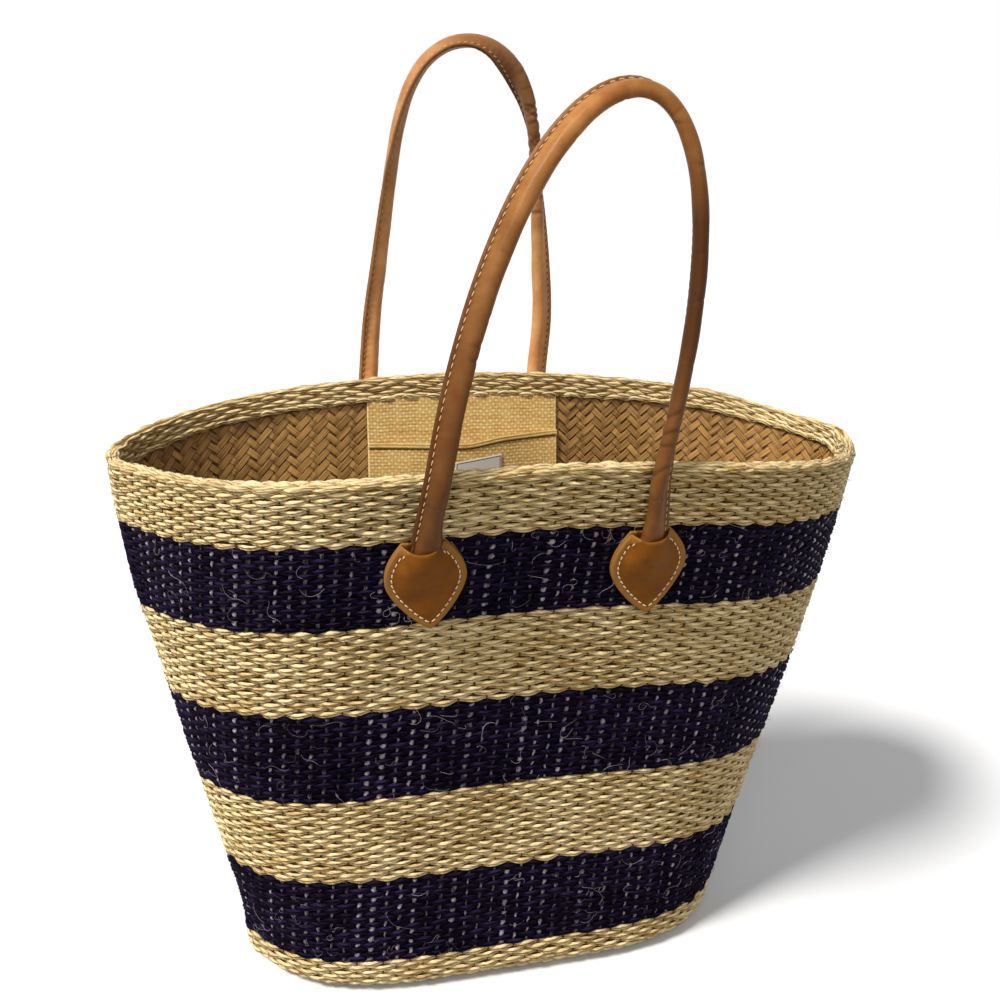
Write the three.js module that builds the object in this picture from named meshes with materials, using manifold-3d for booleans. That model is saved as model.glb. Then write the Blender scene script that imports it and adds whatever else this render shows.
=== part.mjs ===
// Straw tote bag with a woven cover in seven weft bands, a plaited liner, a hanging cloth pocket
// and two stitched leather handles. Millimetres, +Z up, the front wall faces -Y.
import * as THREE from 'three';
import { mergeVertices } from 'three/addons/utils/BufferGeometryUtils.js';
import Module from 'manifold-3d';

const wasm = await Module();
wasm.setup();

// Outline of the basket, measured on the outside of the woven cover
const BAG_HEIGHT = 362;
const BASE_WIDTH = 314;
const LOW_WIDTH = 362;
const HIGH_WIDTH = 414;
const RIM_WIDTH = 450;
const BASE_DEPTH = 58;
const LOW_DEPTH = 69;
const HIGH_DEPTH = 90;
const RIM_FRONT_DEPTH = 122;
const RIM_BACK_DEPTH = 86.5;
const RIM_DIP = 24;
const SIDE_POWER_BASE = 4.3;
const SIDE_POWER_RIM = 4;
const WALL_POWER_BASE = 1.5;
const WALL_POWER_FRONT_RIM = 1;
const WALL_POWER_BACK_RIM = 2;
const BASE_CORNER = 14;

// Heights of the weft bands, from the rim down. Together they fill the bag's height
const RIM_BAND = 37.4;
const NAVY_UPPER_BAND = 50.2;
const NATURAL_UPPER_BAND = 56.6;
const NAVY_MIDDLE_BAND = 62.5;
const NATURAL_LOWER_BAND = 63.1;
const NAVY_LOWER_BAND = 65.3;
const FOOT_BAND = 26.9;

// Cloth and leather thicknesses
const COVER_THICK = 3.2;
const LINER_THICK = 1.8;
const TURNOVER_THICK = 2.6;
const POCKET_CLOTH = 1;
const HEM_THICK = 1.2;
const LABEL_THICK = 0.6;
const SEAT_GAP = 0.3;

// Rim turnover
const FOLD_HEIGHT = 4;
const FOLD_ROUND = 1.4;
const TURNOVER_REACH = 19;

// Pocket that hangs on the inside of the back wall, its heights measured down from the rim
const POCKET_WIDTH = 125;
const POCKET_MIDDLE_X = -11.5;
const POCKET_MOUTH_DROP = 43;
const POCKET_BOTTOM_DROP = 187;
const POCKET_GAPE = 8;
const HEM_HEIGHT = 8;
const LABEL_WIDTH = 31;
const LABEL_HEIGHT = 12;
const LABEL_MIDDLE_X = -1.5;
const LABEL_DROP = 55;

// Leather tabs that hold the handles to the walls
const TAB_SPACING = 117;
const TAB_MIDDLE_X = -15;
const TAB_MOUTH_DROP = 44;
const TAB_TILT = 8;
const TAB_HORN = 10;
const TAB_HORN_RISE = 6.2;
const TAB_HALF_WIDTH = 20.4;
const TAB_WIDEST_DROP = 16;
const TAB_LENGTH = 48;
const TAB_SHOULDER_DROP = 5.3;
const TAB_WAIST_DROP = 26.4;
const TAB_POINT_HALF_WIDTH = 7.14;
const TAB_POINT_DROP = 44.2;
const TAB_LEATHER = 1.5;
const DOME_HALF_WIDTH = 13;
const DOME_RUN = 27;
const DOME_SLACK = 1.3;
const STUB_HALF_WIDTH = 5.6;
const STUB_RUN = 19;
const STUB_START = 0.4;
const STUB_SLACK = 0.9;

// Handles: a cord wrapped in leather whose edges meet in a stitched fin
const TUBE_RADIUS = 4.3;
const SKIN_THICK = 1.2;
const FIN_REACH = 5.2;
const FIN_THICK = 2.6;
const FIN_START = 9;
const MOUTH_CLEARANCE = 1;
const LEG_CONVERGENCE = 5;
const LEG_SHARES = [0.32, 0.615, 0.865];
const LEAN_PIVOT_RISE = 12;
const FRONT_HANDLE = {
  rise: 172,
  spread: 107,
  taper: -0.16,
  shoulder: 2,
  shift: 0,
  skew: 37,
  lean: 8,
};
const BACK_HANDLE = {
  rise: 197.4,
  spread: 114,
  taper: 0.32,
  shoulder: 9,
  shift: 1.5,
  skew: -0.5,
  lean: 5,
};
// Where along a handle its fin turns away from the outer side, and by how many degrees: to the back
// where they are positive, and to the front where they are negative
const FRONT_FIN_TURN = { start: 0.28, full: 0.52, easing: 0.8, end: 0.91, degrees: 80 };
const BACK_FIN_TURN = { start: 0.2, full: 0.5, easing: 0.62, end: 0.8, degrees: -110 };

// How finely the curved surfaces are divided
const WALL_COLUMNS = 48;
const CORNER_STEPS = 3;
const TUBE_SIDES = 10;
const CORE_SIDES = 6;
const LOOP_STEPS = 28;
const LEG_STEPS = 5;
const LOOP_POINTS = 17;
const EVEN_SAMPLES = 2000;
const EVEN_HEIGHT = 0.6;
const PATH_SAMPLES = 1200;
const HALVINGS = 40;
const HEIGHT_PASSES = 4;
const NORMAL_STEP = 0.5;

const FRONT = -1;
const BACK = 1;

const BAND_HEIGHTS = [
  RIM_BAND,
  NAVY_UPPER_BAND,
  NATURAL_UPPER_BAND,
  NAVY_MIDDLE_BAND,
  NATURAL_LOWER_BAND,
  NAVY_LOWER_BAND,
  FOOT_BAND,
];
const TAB_MOUTH_Z = BAG_HEIGHT - TAB_MOUTH_DROP;
const POCKET_MOUTH_Z = BAG_HEIGHT - POCKET_MOUTH_DROP;
const POCKET_BOTTOM_Z = BAG_HEIGHT - POCKET_BOTTOM_DROP;
const LABEL_TOP_Z = BAG_HEIGHT - LABEL_DROP;

// Cubic through four values at 0, one third, two thirds and 1
function through(values, t) {
  const stops = [0, 1 / 3, 2 / 3, 1];
  let sum = 0;
  for (let i = 0; i < stops.length; i++) {
    let weight = values[i];
    for (let j = 0; j < stops.length; j++) {
      if (j !== i) weight *= (t - stops[j]) / (stops[i] - stops[j]);
    }
    sum += weight;
  }
  return sum;
}

function halfWidth(t) {
  return through([BASE_WIDTH, LOW_WIDTH, HIGH_WIDTH, RIM_WIDTH], t) / 2;
}

// The walls bulge alike below, and the front one flares further out at the rim
function wallDepth(t, side) {
  const front = through([BASE_DEPTH, LOW_DEPTH, HIGH_DEPTH, RIM_FRONT_DEPTH], t);
  return side === FRONT ? front : front + (RIM_BACK_DEPTH - RIM_FRONT_DEPTH) * t;
}

function sidePower(t) {
  return THREE.MathUtils.lerp(SIDE_POWER_BASE, SIDE_POWER_RIM, t);
}

function wallPower(t, side) {
  const rim = side === FRONT ? WALL_POWER_FRONT_RIM : WALL_POWER_BACK_RIM;
  return THREE.MathUtils.lerp(WALL_POWER_BASE, rim, t);
}

// Height of the wall at share t of the bag height: the rim dips towards the two side tips
function wallHeight(t, x) {
  const share = x / halfWidth(t);
  return BAG_HEIGHT * t - RIM_DIP * Math.sin((Math.PI * t) / 2) * share * share;
}

// Point of the ring at share t and angle, moved in by inset and up by rise
function ringPoint(t, angle, inset, rise) {
  const c = Math.cos(angle);
  const s = Math.sin(angle);
  const side = s < 0 ? FRONT : BACK;
  const x = (halfWidth(t) - inset) * Math.sign(c) * Math.abs(c) ** (2 / sidePower(t));
  const y = (wallDepth(t, side) - inset) * Math.sign(s) * Math.abs(s) ** (2 / wallPower(t, side));
  return new THREE.Vector3(x, y, wallHeight(t, x) + rise);
}

// Angles that space the columns evenly along each wall at mid height, with both tips kept
function evenAngles(count) {
  const angles = [];
  for (const start of [0, Math.PI]) {
    const lengths = [0];
    for (let i = 1; i <= EVEN_SAMPLES; i++) {
      const a = ringPoint(EVEN_HEIGHT, start + (Math.PI * (i - 1)) / EVEN_SAMPLES, 0, 0);
      const b = ringPoint(EVEN_HEIGHT, start + (Math.PI * i) / EVEN_SAMPLES, 0, 0);
      lengths.push(lengths[i - 1] + a.distanceTo(b));
    }
    for (let k = 0; k < count / 2; k++) {
      const wanted = (lengths[EVEN_SAMPLES] * k) / (count / 2);
      const at = lengths.findIndex((length) => length >= wanted);
      angles.push(start + (Math.PI * at) / EVEN_SAMPLES);
    }
  }
  return angles;
}

const ANGLES = evenAngles(WALL_COLUMNS);

// Closed mesh from points and triangles, turned so that its faces point out
function closedGeometry(points, triangles) {
  let volume = 0;
  const cross = new THREE.Vector3();
  for (const [a, b, c] of triangles) {
    volume += points[a].dot(cross.crossVectors(points[b], points[c]));
  }
  const index = triangles.flatMap(([a, b, c]) => (volume < 0 ? [a, c, b] : [a, b, c]));
  const geometry = new THREE.BufferGeometry().setFromPoints(points);
  geometry.setIndex(index);
  geometry.computeVertexNormals();
  return geometry;
}

function quad(a, b, c, d) {
  return [
    [a, b, c],
    [a, c, d],
  ];
}

// Ring whose cross-section is a closed loop of stations, each a share t, an inset and a rise
function ringBody(stations) {
  const n = ANGLES.length;
  const points = stations.flatMap(({ t, inset, rise = 0 }) =>
    ANGLES.map((angle) => ringPoint(t, angle, inset, rise)),
  );
  const triangles = [];
  stations.forEach((station, j) => {
    const after = (j + 1) % stations.length;
    for (let i = 0; i < n; i++) {
      const k = (i + 1) % n;
      const corners = [j * n + i, j * n + k, after * n + k, after * n + i];
      // Every face is split along the same diagonal, so that nested walls stay parallel
      if (stations[after].t > station.t) corners.push(corners.shift());
      triangles.push(...quad(...corners));
    }
  });
  return closedGeometry(points, triangles);
}

// Flat plate with the base outline, moved in by inset, between two heights
function basePlate(inset, low, high) {
  const n = ANGLES.length;
  const outline = ANGLES.map((angle) => ringPoint(0, angle, inset, 0));
  const points = [low, high].flatMap((z) => outline.map((p) => new THREE.Vector3(p.x, p.y, z)));
  points.push(new THREE.Vector3(0, 0, low), new THREE.Vector3(0, 0, high));
  const triangles = [];
  for (let i = 0; i < n; i++) {
    const k = (i + 1) % n;
    triangles.push(...quad(i, k, n + k, n + i));
    triangles.push([k, i, 2 * n], [n + i, n + k, 2 * n + 1]);
  }
  return closedGeometry(points, triangles);
}

// Heights that divide a wall between two edges, with one more at the turnover's edge and one
// behind the tabs
function rowsBetween(top, bottom) {
  const extra = [TURNOVER_EDGE, (BAND_EDGES[1] + BAND_EDGES[2]) / 2];
  return [top, ...extra.filter((z) => z < top && z > bottom), bottom];
}

// Stations down one face of a band, with a gap under it for the next band
function bandStations(top, bottom, inset) {
  const rows = rowsBetween(top, bottom);
  return rows.map((z) => ({ t: (z === bottom ? z + SEAT_GAP : z) / BAG_HEIGHT, inset }));
}

// Stations round the base corner, from the wall down to the base
function cornerStations(inset) {
  const radius = BASE_CORNER - inset;
  return Array.from({ length: CORNER_STEPS + 1 }, (_, i) => {
    const angle = (Math.PI / 2) * (1 - i / CORNER_STEPS);
    const z = inset + radius * (1 - Math.cos(angle));
    return { t: z / BAG_HEIGHT, inset: inset + radius * (1 - Math.sin(angle)) };
  });
}

const COVER_TOP = BAG_HEIGHT - FOLD_HEIGHT;
const LINER_INSET = COVER_THICK + SEAT_GAP;
const LINER_FACE = LINER_INSET + LINER_THICK;
const TURNOVER_INSET = LINER_FACE + SEAT_GAP;
const TURNOVER_FACE = TURNOVER_INSET + TURNOVER_THICK;
const TURNOVER_EDGE = BAG_HEIGHT - TURNOVER_REACH;

// One weft band of the cover, between two heights
function coverBand(top, bottom) {
  return ringBody([
    ...bandStations(top, bottom, 0),
    ...bandStations(top, bottom, COVER_THICK).reverse(),
  ]);
}

function coverFoot(top) {
  return ringBody([
    { t: top / BAG_HEIGHT, inset: 0 },
    ...cornerStations(0),
    ...cornerStations(COVER_THICK).reverse(),
    { t: top / BAG_HEIGHT, inset: COVER_THICK },
  ]);
}

// Upper edge of each band, from the rim down
const bandSum = (heights) => heights.reduce((sum, height) => sum + height, 0);
const BAND_EDGES = BAND_HEIGHTS.map((_, i) => {
  const below = bandSum(BAND_HEIGHTS.slice(i)) / bandSum(BAND_HEIGHTS);
  return i ? BAG_HEIGHT * below : COVER_TOP;
});

function linerWall() {
  const faces = [LINER_INSET, LINER_FACE].map((inset) => {
    const rows = BAND_EDGES.flatMap((z, i) => (i ? rowsBetween(BAND_EDGES[i - 1], z).slice(1) : z));
    return [...rows.map((z) => ({ t: z / BAG_HEIGHT, inset })), ...cornerStations(inset)];
  });
  return ringBody([...faces[0], ...faces[1].reverse()]);
}

// The cover's end and the liner's end are closed in by a strip folded over the rim
function rimTurnover() {
  const t = COVER_TOP / BAG_HEIGHT;
  const low = TURNOVER_EDGE / BAG_HEIGHT;
  const shoulder = FOLD_HEIGHT - FOLD_ROUND;
  return ringBody([
    { t, inset: 0, rise: SEAT_GAP },
    { t, inset: 0, rise: shoulder },
    { t, inset: FOLD_ROUND, rise: FOLD_HEIGHT },
    { t, inset: TURNOVER_FACE - FOLD_ROUND, rise: FOLD_HEIGHT },
    { t, inset: TURNOVER_FACE, rise: shoulder },
    { t: low, inset: TURNOVER_FACE },
    { t: low, inset: TURNOVER_INSET },
    { t, inset: TURNOVER_INSET, rise: SEAT_GAP },
  ]);
}

// Point of a wall at a given x and height, moved in by inset
function wallPoint(x, z, inset, side) {
  let t = z / BAG_HEIGHT;
  for (let i = 0; i < HEIGHT_PASSES; i++) {
    t = (z + BAG_HEIGHT * t - wallHeight(t, x)) / BAG_HEIGHT;
  }
  const share = Math.abs(x / (halfWidth(t) - inset)) ** sidePower(t);
  const y = side * (wallDepth(t, side) - inset) * (1 - share) ** (1 / wallPower(t, side));
  return new THREE.Vector3(x, y, z);
}

// Outward normal of a wall, by small steps along it
function wallNormal(x, z, inset, side) {
  const at = (dx, dz) => wallPoint(x + dx, z + dz, inset, side);
  const across = at(NORMAL_STEP, 0).sub(at(-NORMAL_STEP, 0));
  const up = at(0, NORMAL_STEP).sub(at(0, -NORMAL_STEP));
  return across.cross(up).normalize().multiplyScalar(side === FRONT ? 1 : -1);
}

// Point at a distance off the wall, positive outwards
function offWall(x, z, inset, side, distance) {
  return wallPoint(x, z, inset, side).addScaledVector(wallNormal(x, z, inset, side), distance);
}

// Closed sheet between two surfaces over a grid of shares (across, up), each a function to a point
function gridSheet(near, far, columns, rows) {
  const wide = columns + 1;
  const points = [near, far].flatMap((surface) =>
    Array.from({ length: wide * (rows + 1) }, (_, k) =>
      surface((k % wide) / columns, Math.floor(k / wide) / rows),
    ),
  );
  const offset = wide * (rows + 1);
  const triangles = [];
  for (let j = 0; j < rows; j++) {
    for (let i = 0; i < columns; i++) {
      const a = j * wide + i;
      triangles.push(...quad(a, a + 1, a + wide + 1, a + wide));
      triangles.push(...quad(offset + a, offset + a + wide, offset + a + wide + 1, offset + a + 1));
    }
  }
  const rim = [];
  for (let i = 0; i < columns; i++) rim.push(i);
  for (let j = 0; j < rows; j++) rim.push(j * wide + columns);
  for (let i = columns; i > 0; i--) rim.push(rows * wide + i);
  for (let j = rows; j > 0; j--) rim.push(j * wide);
  rim.forEach((a, i) => {
    const b = rim[(i + 1) % rim.length];
    triangles.push(...quad(b, a, offset + a, offset + b));
  });
  return closedGeometry(points, triangles);
}

// How far the pocket's front cloth stands off the back cloth: widest at the middle of its mouth
function pocketGape(x, z) {
  const across = (2 * (x - POCKET_MIDDLE_X)) / POCKET_WIDTH;
  const up = (z - POCKET_BOTTOM_Z) / (POCKET_MOUTH_Z - POCKET_BOTTOM_Z);
  const bow = Math.max(0, 1 - across * across);
  return SEAT_GAP + POCKET_GAPE * bow * bow * Math.max(0, up) ** 3;
}

const POCKET_BACK_LIFT = SEAT_GAP;
const POCKET_FRONT_LIFT = POCKET_BACK_LIFT + POCKET_CLOTH;

// Sheet that hangs inside the back wall; lift is how far in from the liner it starts, and top is
// its upper edge at each x
function pocketSheet({ middle, width, low, top, thick, lift, columns, rows }) {
  const surface = (extra) => (u, v) => {
    const x = middle + width * (u - 0.5);
    const z = THREE.MathUtils.lerp(low, top(x), v);
    return offWall(x, z, LINER_FACE, BACK, -(lift(x, z) + extra));
  };
  return gridSheet(surface(0), surface(thick), columns, rows);
}

function pocketBackCloth() {
  return pocketSheet({
    middle: POCKET_MIDDLE_X,
    width: POCKET_WIDTH,
    low: POCKET_BOTTOM_Z,
    top: (x) => wallHeight(TURNOVER_EDGE / BAG_HEIGHT, x) - 2 * SEAT_GAP,
    thick: POCKET_CLOTH,
    lift: () => POCKET_BACK_LIFT,
    columns: 10,
    rows: 8,
  });
}

function pocketFrontCloth() {
  return pocketSheet({
    middle: POCKET_MIDDLE_X,
    width: POCKET_WIDTH,
    low: POCKET_BOTTOM_Z,
    top: () => POCKET_MOUTH_Z,
    thick: POCKET_CLOTH,
    lift: (x, z) => POCKET_FRONT_LIFT + pocketGape(x, z),
    columns: 10,
    rows: 8,
  });
}

function pocketHem() {
  return pocketSheet({
    middle: POCKET_MIDDLE_X,
    width: POCKET_WIDTH,
    low: POCKET_MOUTH_Z - HEM_HEIGHT,
    top: () => POCKET_MOUTH_Z,
    thick: HEM_THICK,
    lift: (x, z) => POCKET_FRONT_LIFT + pocketGape(x, z) + POCKET_CLOTH + SEAT_GAP,
    columns: 20,
    rows: 1,
  });
}

function blankLabel() {
  return pocketSheet({
    middle: LABEL_MIDDLE_X,
    width: LABEL_WIDTH,
    low: LABEL_TOP_Z - LABEL_HEIGHT,
    top: () => LABEL_TOP_Z,
    thick: LABEL_THICK,
    lift: (x, z) => POCKET_FRONT_LIFT + pocketGape(x, z) + POCKET_CLOTH + SEAT_GAP,
    columns: 6,
    rows: 2,
  });
}

// A tab's own frame: across and up on the wall from the middle of its mouth, and out from the wall
function onTab(tab, across, up, out) {
  const normal = wallNormal(tab.x, TAB_MOUTH_Z, 0, tab.side);
  const slope = Math.hypot(normal.x, normal.y);
  const tilt = THREE.MathUtils.degToRad(TAB_TILT);
  const x = tab.x + across * Math.cos(tilt) - up * Math.sin(tilt);
  const z = TAB_MOUTH_Z + (up * Math.cos(tilt) + across * Math.sin(tilt)) * slope;
  return offWall(x, z, 0, tab.side, out);
}

// Half of the tab's outline from the horn to the tip, as two curves that meet at the widest place
function tabSide(sign) {
  const points = [];
  const horn = new THREE.Vector2(sign * TAB_HORN, TAB_HORN_RISE);
  const widest = new THREE.Vector2(sign * TAB_HALF_WIDTH, -TAB_WIDEST_DROP);
  const tip = new THREE.Vector2(0, -TAB_LENGTH);
  const upper = new THREE.QuadraticBezierCurve(
    horn,
    new THREE.Vector2(widest.x, -TAB_SHOULDER_DROP),
    widest,
  );
  const lower = new THREE.CubicBezierCurve(
    widest,
    new THREE.Vector2(widest.x, -TAB_WAIST_DROP),
    new THREE.Vector2(sign * TAB_POINT_HALF_WIDTH, -TAB_POINT_DROP),
    tip,
  );
  points.push(...upper.getPoints(3).slice(0, -1), ...lower.getPoints(6));
  return points;
}

// The mouth is a hollow arc between the two horns, its lowest point at the tab's origin
function tabOutline() {
  const right = tabSide(1);
  const left = tabSide(-1);
  const mouth = new THREE.QuadraticBezierCurve(
    left[0],
    new THREE.Vector2(0, -TAB_HORN_RISE),
    right[0],
  );
  return [...right, ...left.slice(1, -1).reverse(), ...mouth.getPoints(8).slice(0, -1)];
}

// Height of the space that the dome leaves for the handle's end: full at the mouth, none at its foot
function stubHeight(up) {
  const share = THREE.MathUtils.clamp(-up / DOME_RUN, 0, 1);
  return 2 * (TUBE_RADIUS - SEAT_GAP) * (1 - share * share * (3 - 2 * share));
}

const TAB_FACE_SEAT = SEAT_GAP + TAB_LEATHER + SEAT_GAP;
const TUBE_OUT = TAB_FACE_SEAT + TUBE_RADIUS;

function domeRise(across, up) {
  const share = Math.min(1, Math.abs(across) / DOME_HALF_WIDTH);
  const swell = (1 - share * share) ** 2;
  return (stubHeight(up) + DOME_SLACK) * swell;
}

// Leather ply with the tab's outline, between two surfaces given as distances out from the wall,
// over rings that shrink towards the tab's widest place
function tabPly(tab, rings, low, high) {
  const outline = tabOutline();
  const middle = new THREE.Vector2(0, -TAB_WIDEST_DROP);
  const flat = rings.flatMap((share) => outline.map((p) => p.clone().lerp(middle, 1 - share)));
  flat.push(middle);
  const points = [low, high].flatMap((out) => flat.map((p) => onTab(tab, p.x, p.y, out(p.x, p.y))));
  const n = outline.length;
  const layer = flat.length;
  const triangles = [];
  for (let i = 0; i < n; i++) {
    const k = (i + 1) % n;
    for (let r = 0; r < rings.length - 1; r++) {
      const a = r * n;
      triangles.push(...quad(a + i, a + k, a + n + k, a + n + i));
      triangles.push(...quad(layer + a + k, layer + a + i, layer + a + n + i, layer + a + n + k));
    }
    const last = (rings.length - 1) * n;
    triangles.push([last + i, last + k, layer - 1]);
    triangles.push([layer + last + k, layer + last + i, 2 * layer - 1]);
    triangles.push(...quad(k, i, layer + i, layer + k));
  }
  return closedGeometry(points, triangles);
}

function tabBacking(tab) {
  return tabPly(
    tab,
    [1, 0.5],
    () => SEAT_GAP,
    () => SEAT_GAP + TAB_LEATHER,
  );
}

function tabFace(tab) {
  return tabPly(
    tab,
    [1, 0.8, 0.55, 0.3],
    (x, y) => TAB_FACE_SEAT + domeRise(x, y),
    (x, y) => TAB_FACE_SEAT + domeRise(x, y) + TAB_LEATHER,
  );
}

// The flattened end of the handle, sewn in between the two plies
function handleEnd(tab) {
  const surface = (top) => (u, v) => {
    const across = STUB_HALF_WIDTH * Math.cos(Math.PI * (1 - u));
    const up = -STUB_RUN * (1 - v) - STUB_START;
    const round = Math.sqrt(Math.max(0, 1 - (across / (STUB_HALF_WIDTH + 2 * SEAT_GAP)) ** 2));
    const rise = top ? (stubHeight(up) - STUB_SLACK) * round : 0;
    return onTab(tab, across, up, TAB_FACE_SEAT + rise);
  };
  return gridSheet(surface(false), surface(true), 6, 5);
}

const NO_TURN = { start: 0, full: 1, easing: 0, end: 1, degrees: 0 };

// A stretch of another curve, between two shares of its length. The frames' normals point away
// from the middle of the loop, and are turned where turn says so, as the fin is
class HandleStretch extends THREE.Curve {
  constructor(path, start, end, turn = NO_TURN) {
    super();
    this.path = path;
    this.start = start;
    this.end = end;
    this.turn = turn;
  }

  turnAngle(at) {
    const { start, full, easing, end, degrees } = this.turn;
    const into = THREE.MathUtils.smoothstep(at, start, full);
    const out = THREE.MathUtils.smoothstep(at, easing, end);
    return THREE.MathUtils.degToRad(degrees) * (into - out);
  }

  getPoint(share, target = new THREE.Vector3()) {
    return this.path.getPointAt(THREE.MathUtils.lerp(this.start, this.end, share), target);
  }

  computeFrenetFrames(steps) {
    const tangents = [];
    const normals = [];
    const binormals = [];
    const backward = new THREE.Vector3(0, 1, 0);
    for (let i = 0; i <= steps; i++) {
      const at = THREE.MathUtils.lerp(this.start, this.end, i / steps);
      const tangent = this.path.getTangentAt(at);
      const fin = new THREE.Vector3().crossVectors(tangent, backward).normalize();
      fin.applyAxisAngle(tangent, -this.turnAngle(at));
      tangents.push(tangent);
      normals.push(fin);
      binormals.push(new THREE.Vector3().crossVectors(tangent, fin));
    }
    return { tangents, normals, binormals };
  }
}

// Centre line of a handle from the left mouth over the loop to the right mouth
function handlePath(side, handle) {
  const rimZ = wallHeight(1, TAB_MIDDLE_X);
  const legLength = rimZ - TAB_MOUTH_Z;
  const foot = (sign, up) => {
    const x = sign * (TAB_SPACING / 2 - (LEG_CONVERGENCE * up) / legLength);
    const tab = { x: TAB_MIDDLE_X + sign * (TAB_SPACING / 2), side };
    const middle = onTab(tab, 0, up, TUBE_OUT);
    return new THREE.Vector3(TAB_MIDDLE_X + x, middle.y, middle.z);
  };
  const legUps = [MOUTH_CLEARANCE, ...LEG_SHARES.map((share) => share * legLength)];
  const rimY = side * (wallDepth(1, side) + TUBE_OUT);
  const lean = THREE.MathUtils.degToRad(handle.lean);
  const loopPoint = (angle) => {
    const h = Math.sin(angle);
    const taper = 1 - handle.taper * h;
    const half = (handle.spread / 2) * taper * Math.sqrt(1 - h ** handle.shoulder);
    const middle = TAB_MIDDLE_X + handle.shift + handle.skew * h;
    const x = middle - half * Math.sign(Math.cos(angle));
    const rise = handle.rise * h;
    return new THREE.Vector3(
      x,
      rimY - side * rise * Math.sin(lean),
      rimZ + rise * Math.cos(lean),
    );
  };
  const loop = Array.from({ length: LOOP_POINTS }, (_, i) =>
    loopPoint((Math.PI * (i + 1)) / (LOOP_POINTS + 1)),
  );
  const left = legUps.map((up) => foot(-1, up));
  const right = legUps.map((up) => foot(1, up)).reverse();
  const path = new THREE.CatmullRomCurve3([...left, ...loop, ...right]);
  path.arcLengthDivisions = PATH_SAMPLES;
  return path;
}

// Share of the path's length at which it first rises to a height, from either end
function shareAtHeight(path, z, fromEnd) {
  let low = 0;
  let high = 0.5;
  for (let i = 0; i < HALVINGS; i++) {
    const middle = (low + high) / 2;
    const point = path.getPointAt(fromEnd ? 1 - middle : middle);
    if (point.z < z) low = middle;
    else high = middle;
  }
  return fromEnd ? 1 - low : low;
}

// Leather skin: a round tube round the bore that the cord fills
function skinSection() {
  const shape = new THREE.Shape(circlePoints(TUBE_RADIUS, TUBE_SIDES));
  shape.holes.push(new THREE.Path(circlePoints(TUBE_RADIUS - SKIN_THICK, CORE_SIDES).reverse()));
  return shape;
}

// The two edges of the leather, sewn flat against each other on the outer side of the tube
function finSection() {
  const root = TUBE_RADIUS - SKIN_THICK / 2;
  const edge = TUBE_RADIUS + FIN_REACH;
  const half = FIN_THICK / 2;
  return new THREE.Shape([
    new THREE.Vector2(root, -half),
    new THREE.Vector2(edge, -half),
    new THREE.Vector2(edge, half),
    new THREE.Vector2(root, half),
  ]);
}

function circlePoints(radius, sides) {
  return Array.from({ length: sides }, (_, i) => {
    const angle = (2 * Math.PI * (i + 0.5)) / sides;
    return new THREE.Vector2(radius * Math.cos(angle), radius * Math.sin(angle));
  });
}

function coreSection() {
  return new THREE.Shape(circlePoints(TUBE_RADIUS - SKIN_THICK - SEAT_GAP, CORE_SIDES));
}

function sweep(section, stretch, steps) {
  const geometry = new THREE.ExtrudeGeometry(section, {
    steps,
    bevelEnabled: false,
    extrudePath: stretch,
  });
  geometry.deleteAttribute('uv');
  geometry.deleteAttribute('normal');
  const merged = mergeVertices(geometry, 1e-4);
  const position = merged.getAttribute('position');
  const points = Array.from({ length: position.count }, (_, i) =>
    new THREE.Vector3().fromBufferAttribute(position, i),
  );
  const corners = Array.from(merged.index.array);
  const triangles = Array.from({ length: corners.length / 3 }, (_, i) =>
    corners.slice(3 * i, 3 * i + 3),
  );
  return closedGeometry(points, triangles);
}

function solidOf(geometry) {
  const vertProperties = geometry.getAttribute('position').array;
  const triVerts = new Uint32Array(geometry.index.array);
  return new wasm.Manifold(new wasm.Mesh({ numProp: 3, vertProperties, triVerts }));
}

function joined(first, second) {
  const mesh = solidOf(first).add(solidOf(second)).getMesh();
  const geometry = new THREE.BufferGeometry();
  geometry.setAttribute('position', new THREE.BufferAttribute(mesh.vertProperties, 3));
  geometry.setIndex(new THREE.BufferAttribute(mesh.triVerts, 1));
  geometry.computeVertexNormals();
  return geometry;
}

// Skin over one stretch, with its fin over the sewn part of that stretch
function finnedSkin(tube, fin, steps) {
  return joined(sweep(skinSection(), tube, steps), sweep(finSection(), fin, steps));
}

// Materials
const material = (color, roughness) =>
  new THREE.MeshStandardMaterial({ color, roughness, metalness: 0 });
const naturalStraw = material(0xa68f62, 0.9);
const navyStraw = material(0x221c27, 0.9);
const palmLeaf = material(0x865f2f, 0.6);
const raffiaCloth = material(0xc8a065, 0.8);
const tanLeather = material(0xb8844f, 0.5);
const brownLeather = material(0x6e4219, 0.5);
const cottonCord = material(0xd8cdb8, 0.9);
const labelTape = material(0xafaaa5, 0.8);

const bag = new THREE.Group();

function add(group, name, geometry, finish) {
  const mesh = new THREE.Mesh(geometry, finish);
  mesh.name = name;
  group.add(mesh);
}

function addCover() {
  const cover = new THREE.Group();
  const names = [
    'natural_band_rim',
    'navy_band_upper',
    'natural_band_upper',
    'navy_band_middle',
    'natural_band_lower',
    'navy_band_lower',
  ];
  names.forEach((name, i) => {
    const finish = name.startsWith('navy') ? navyStraw : naturalStraw;
    add(cover, name, coverBand(BAND_EDGES[i], BAND_EDGES[i + 1]), finish);
  });
  add(cover, 'natural_band_foot', coverFoot(BAND_EDGES[names.length]), naturalStraw);
  add(cover, 'woven_base', basePlate(BASE_CORNER + SEAT_GAP, 0, COVER_THICK), naturalStraw);
  add(cover, 'rim_turnover', rimTurnover(), naturalStraw);
  bag.add(cover);
}

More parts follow.
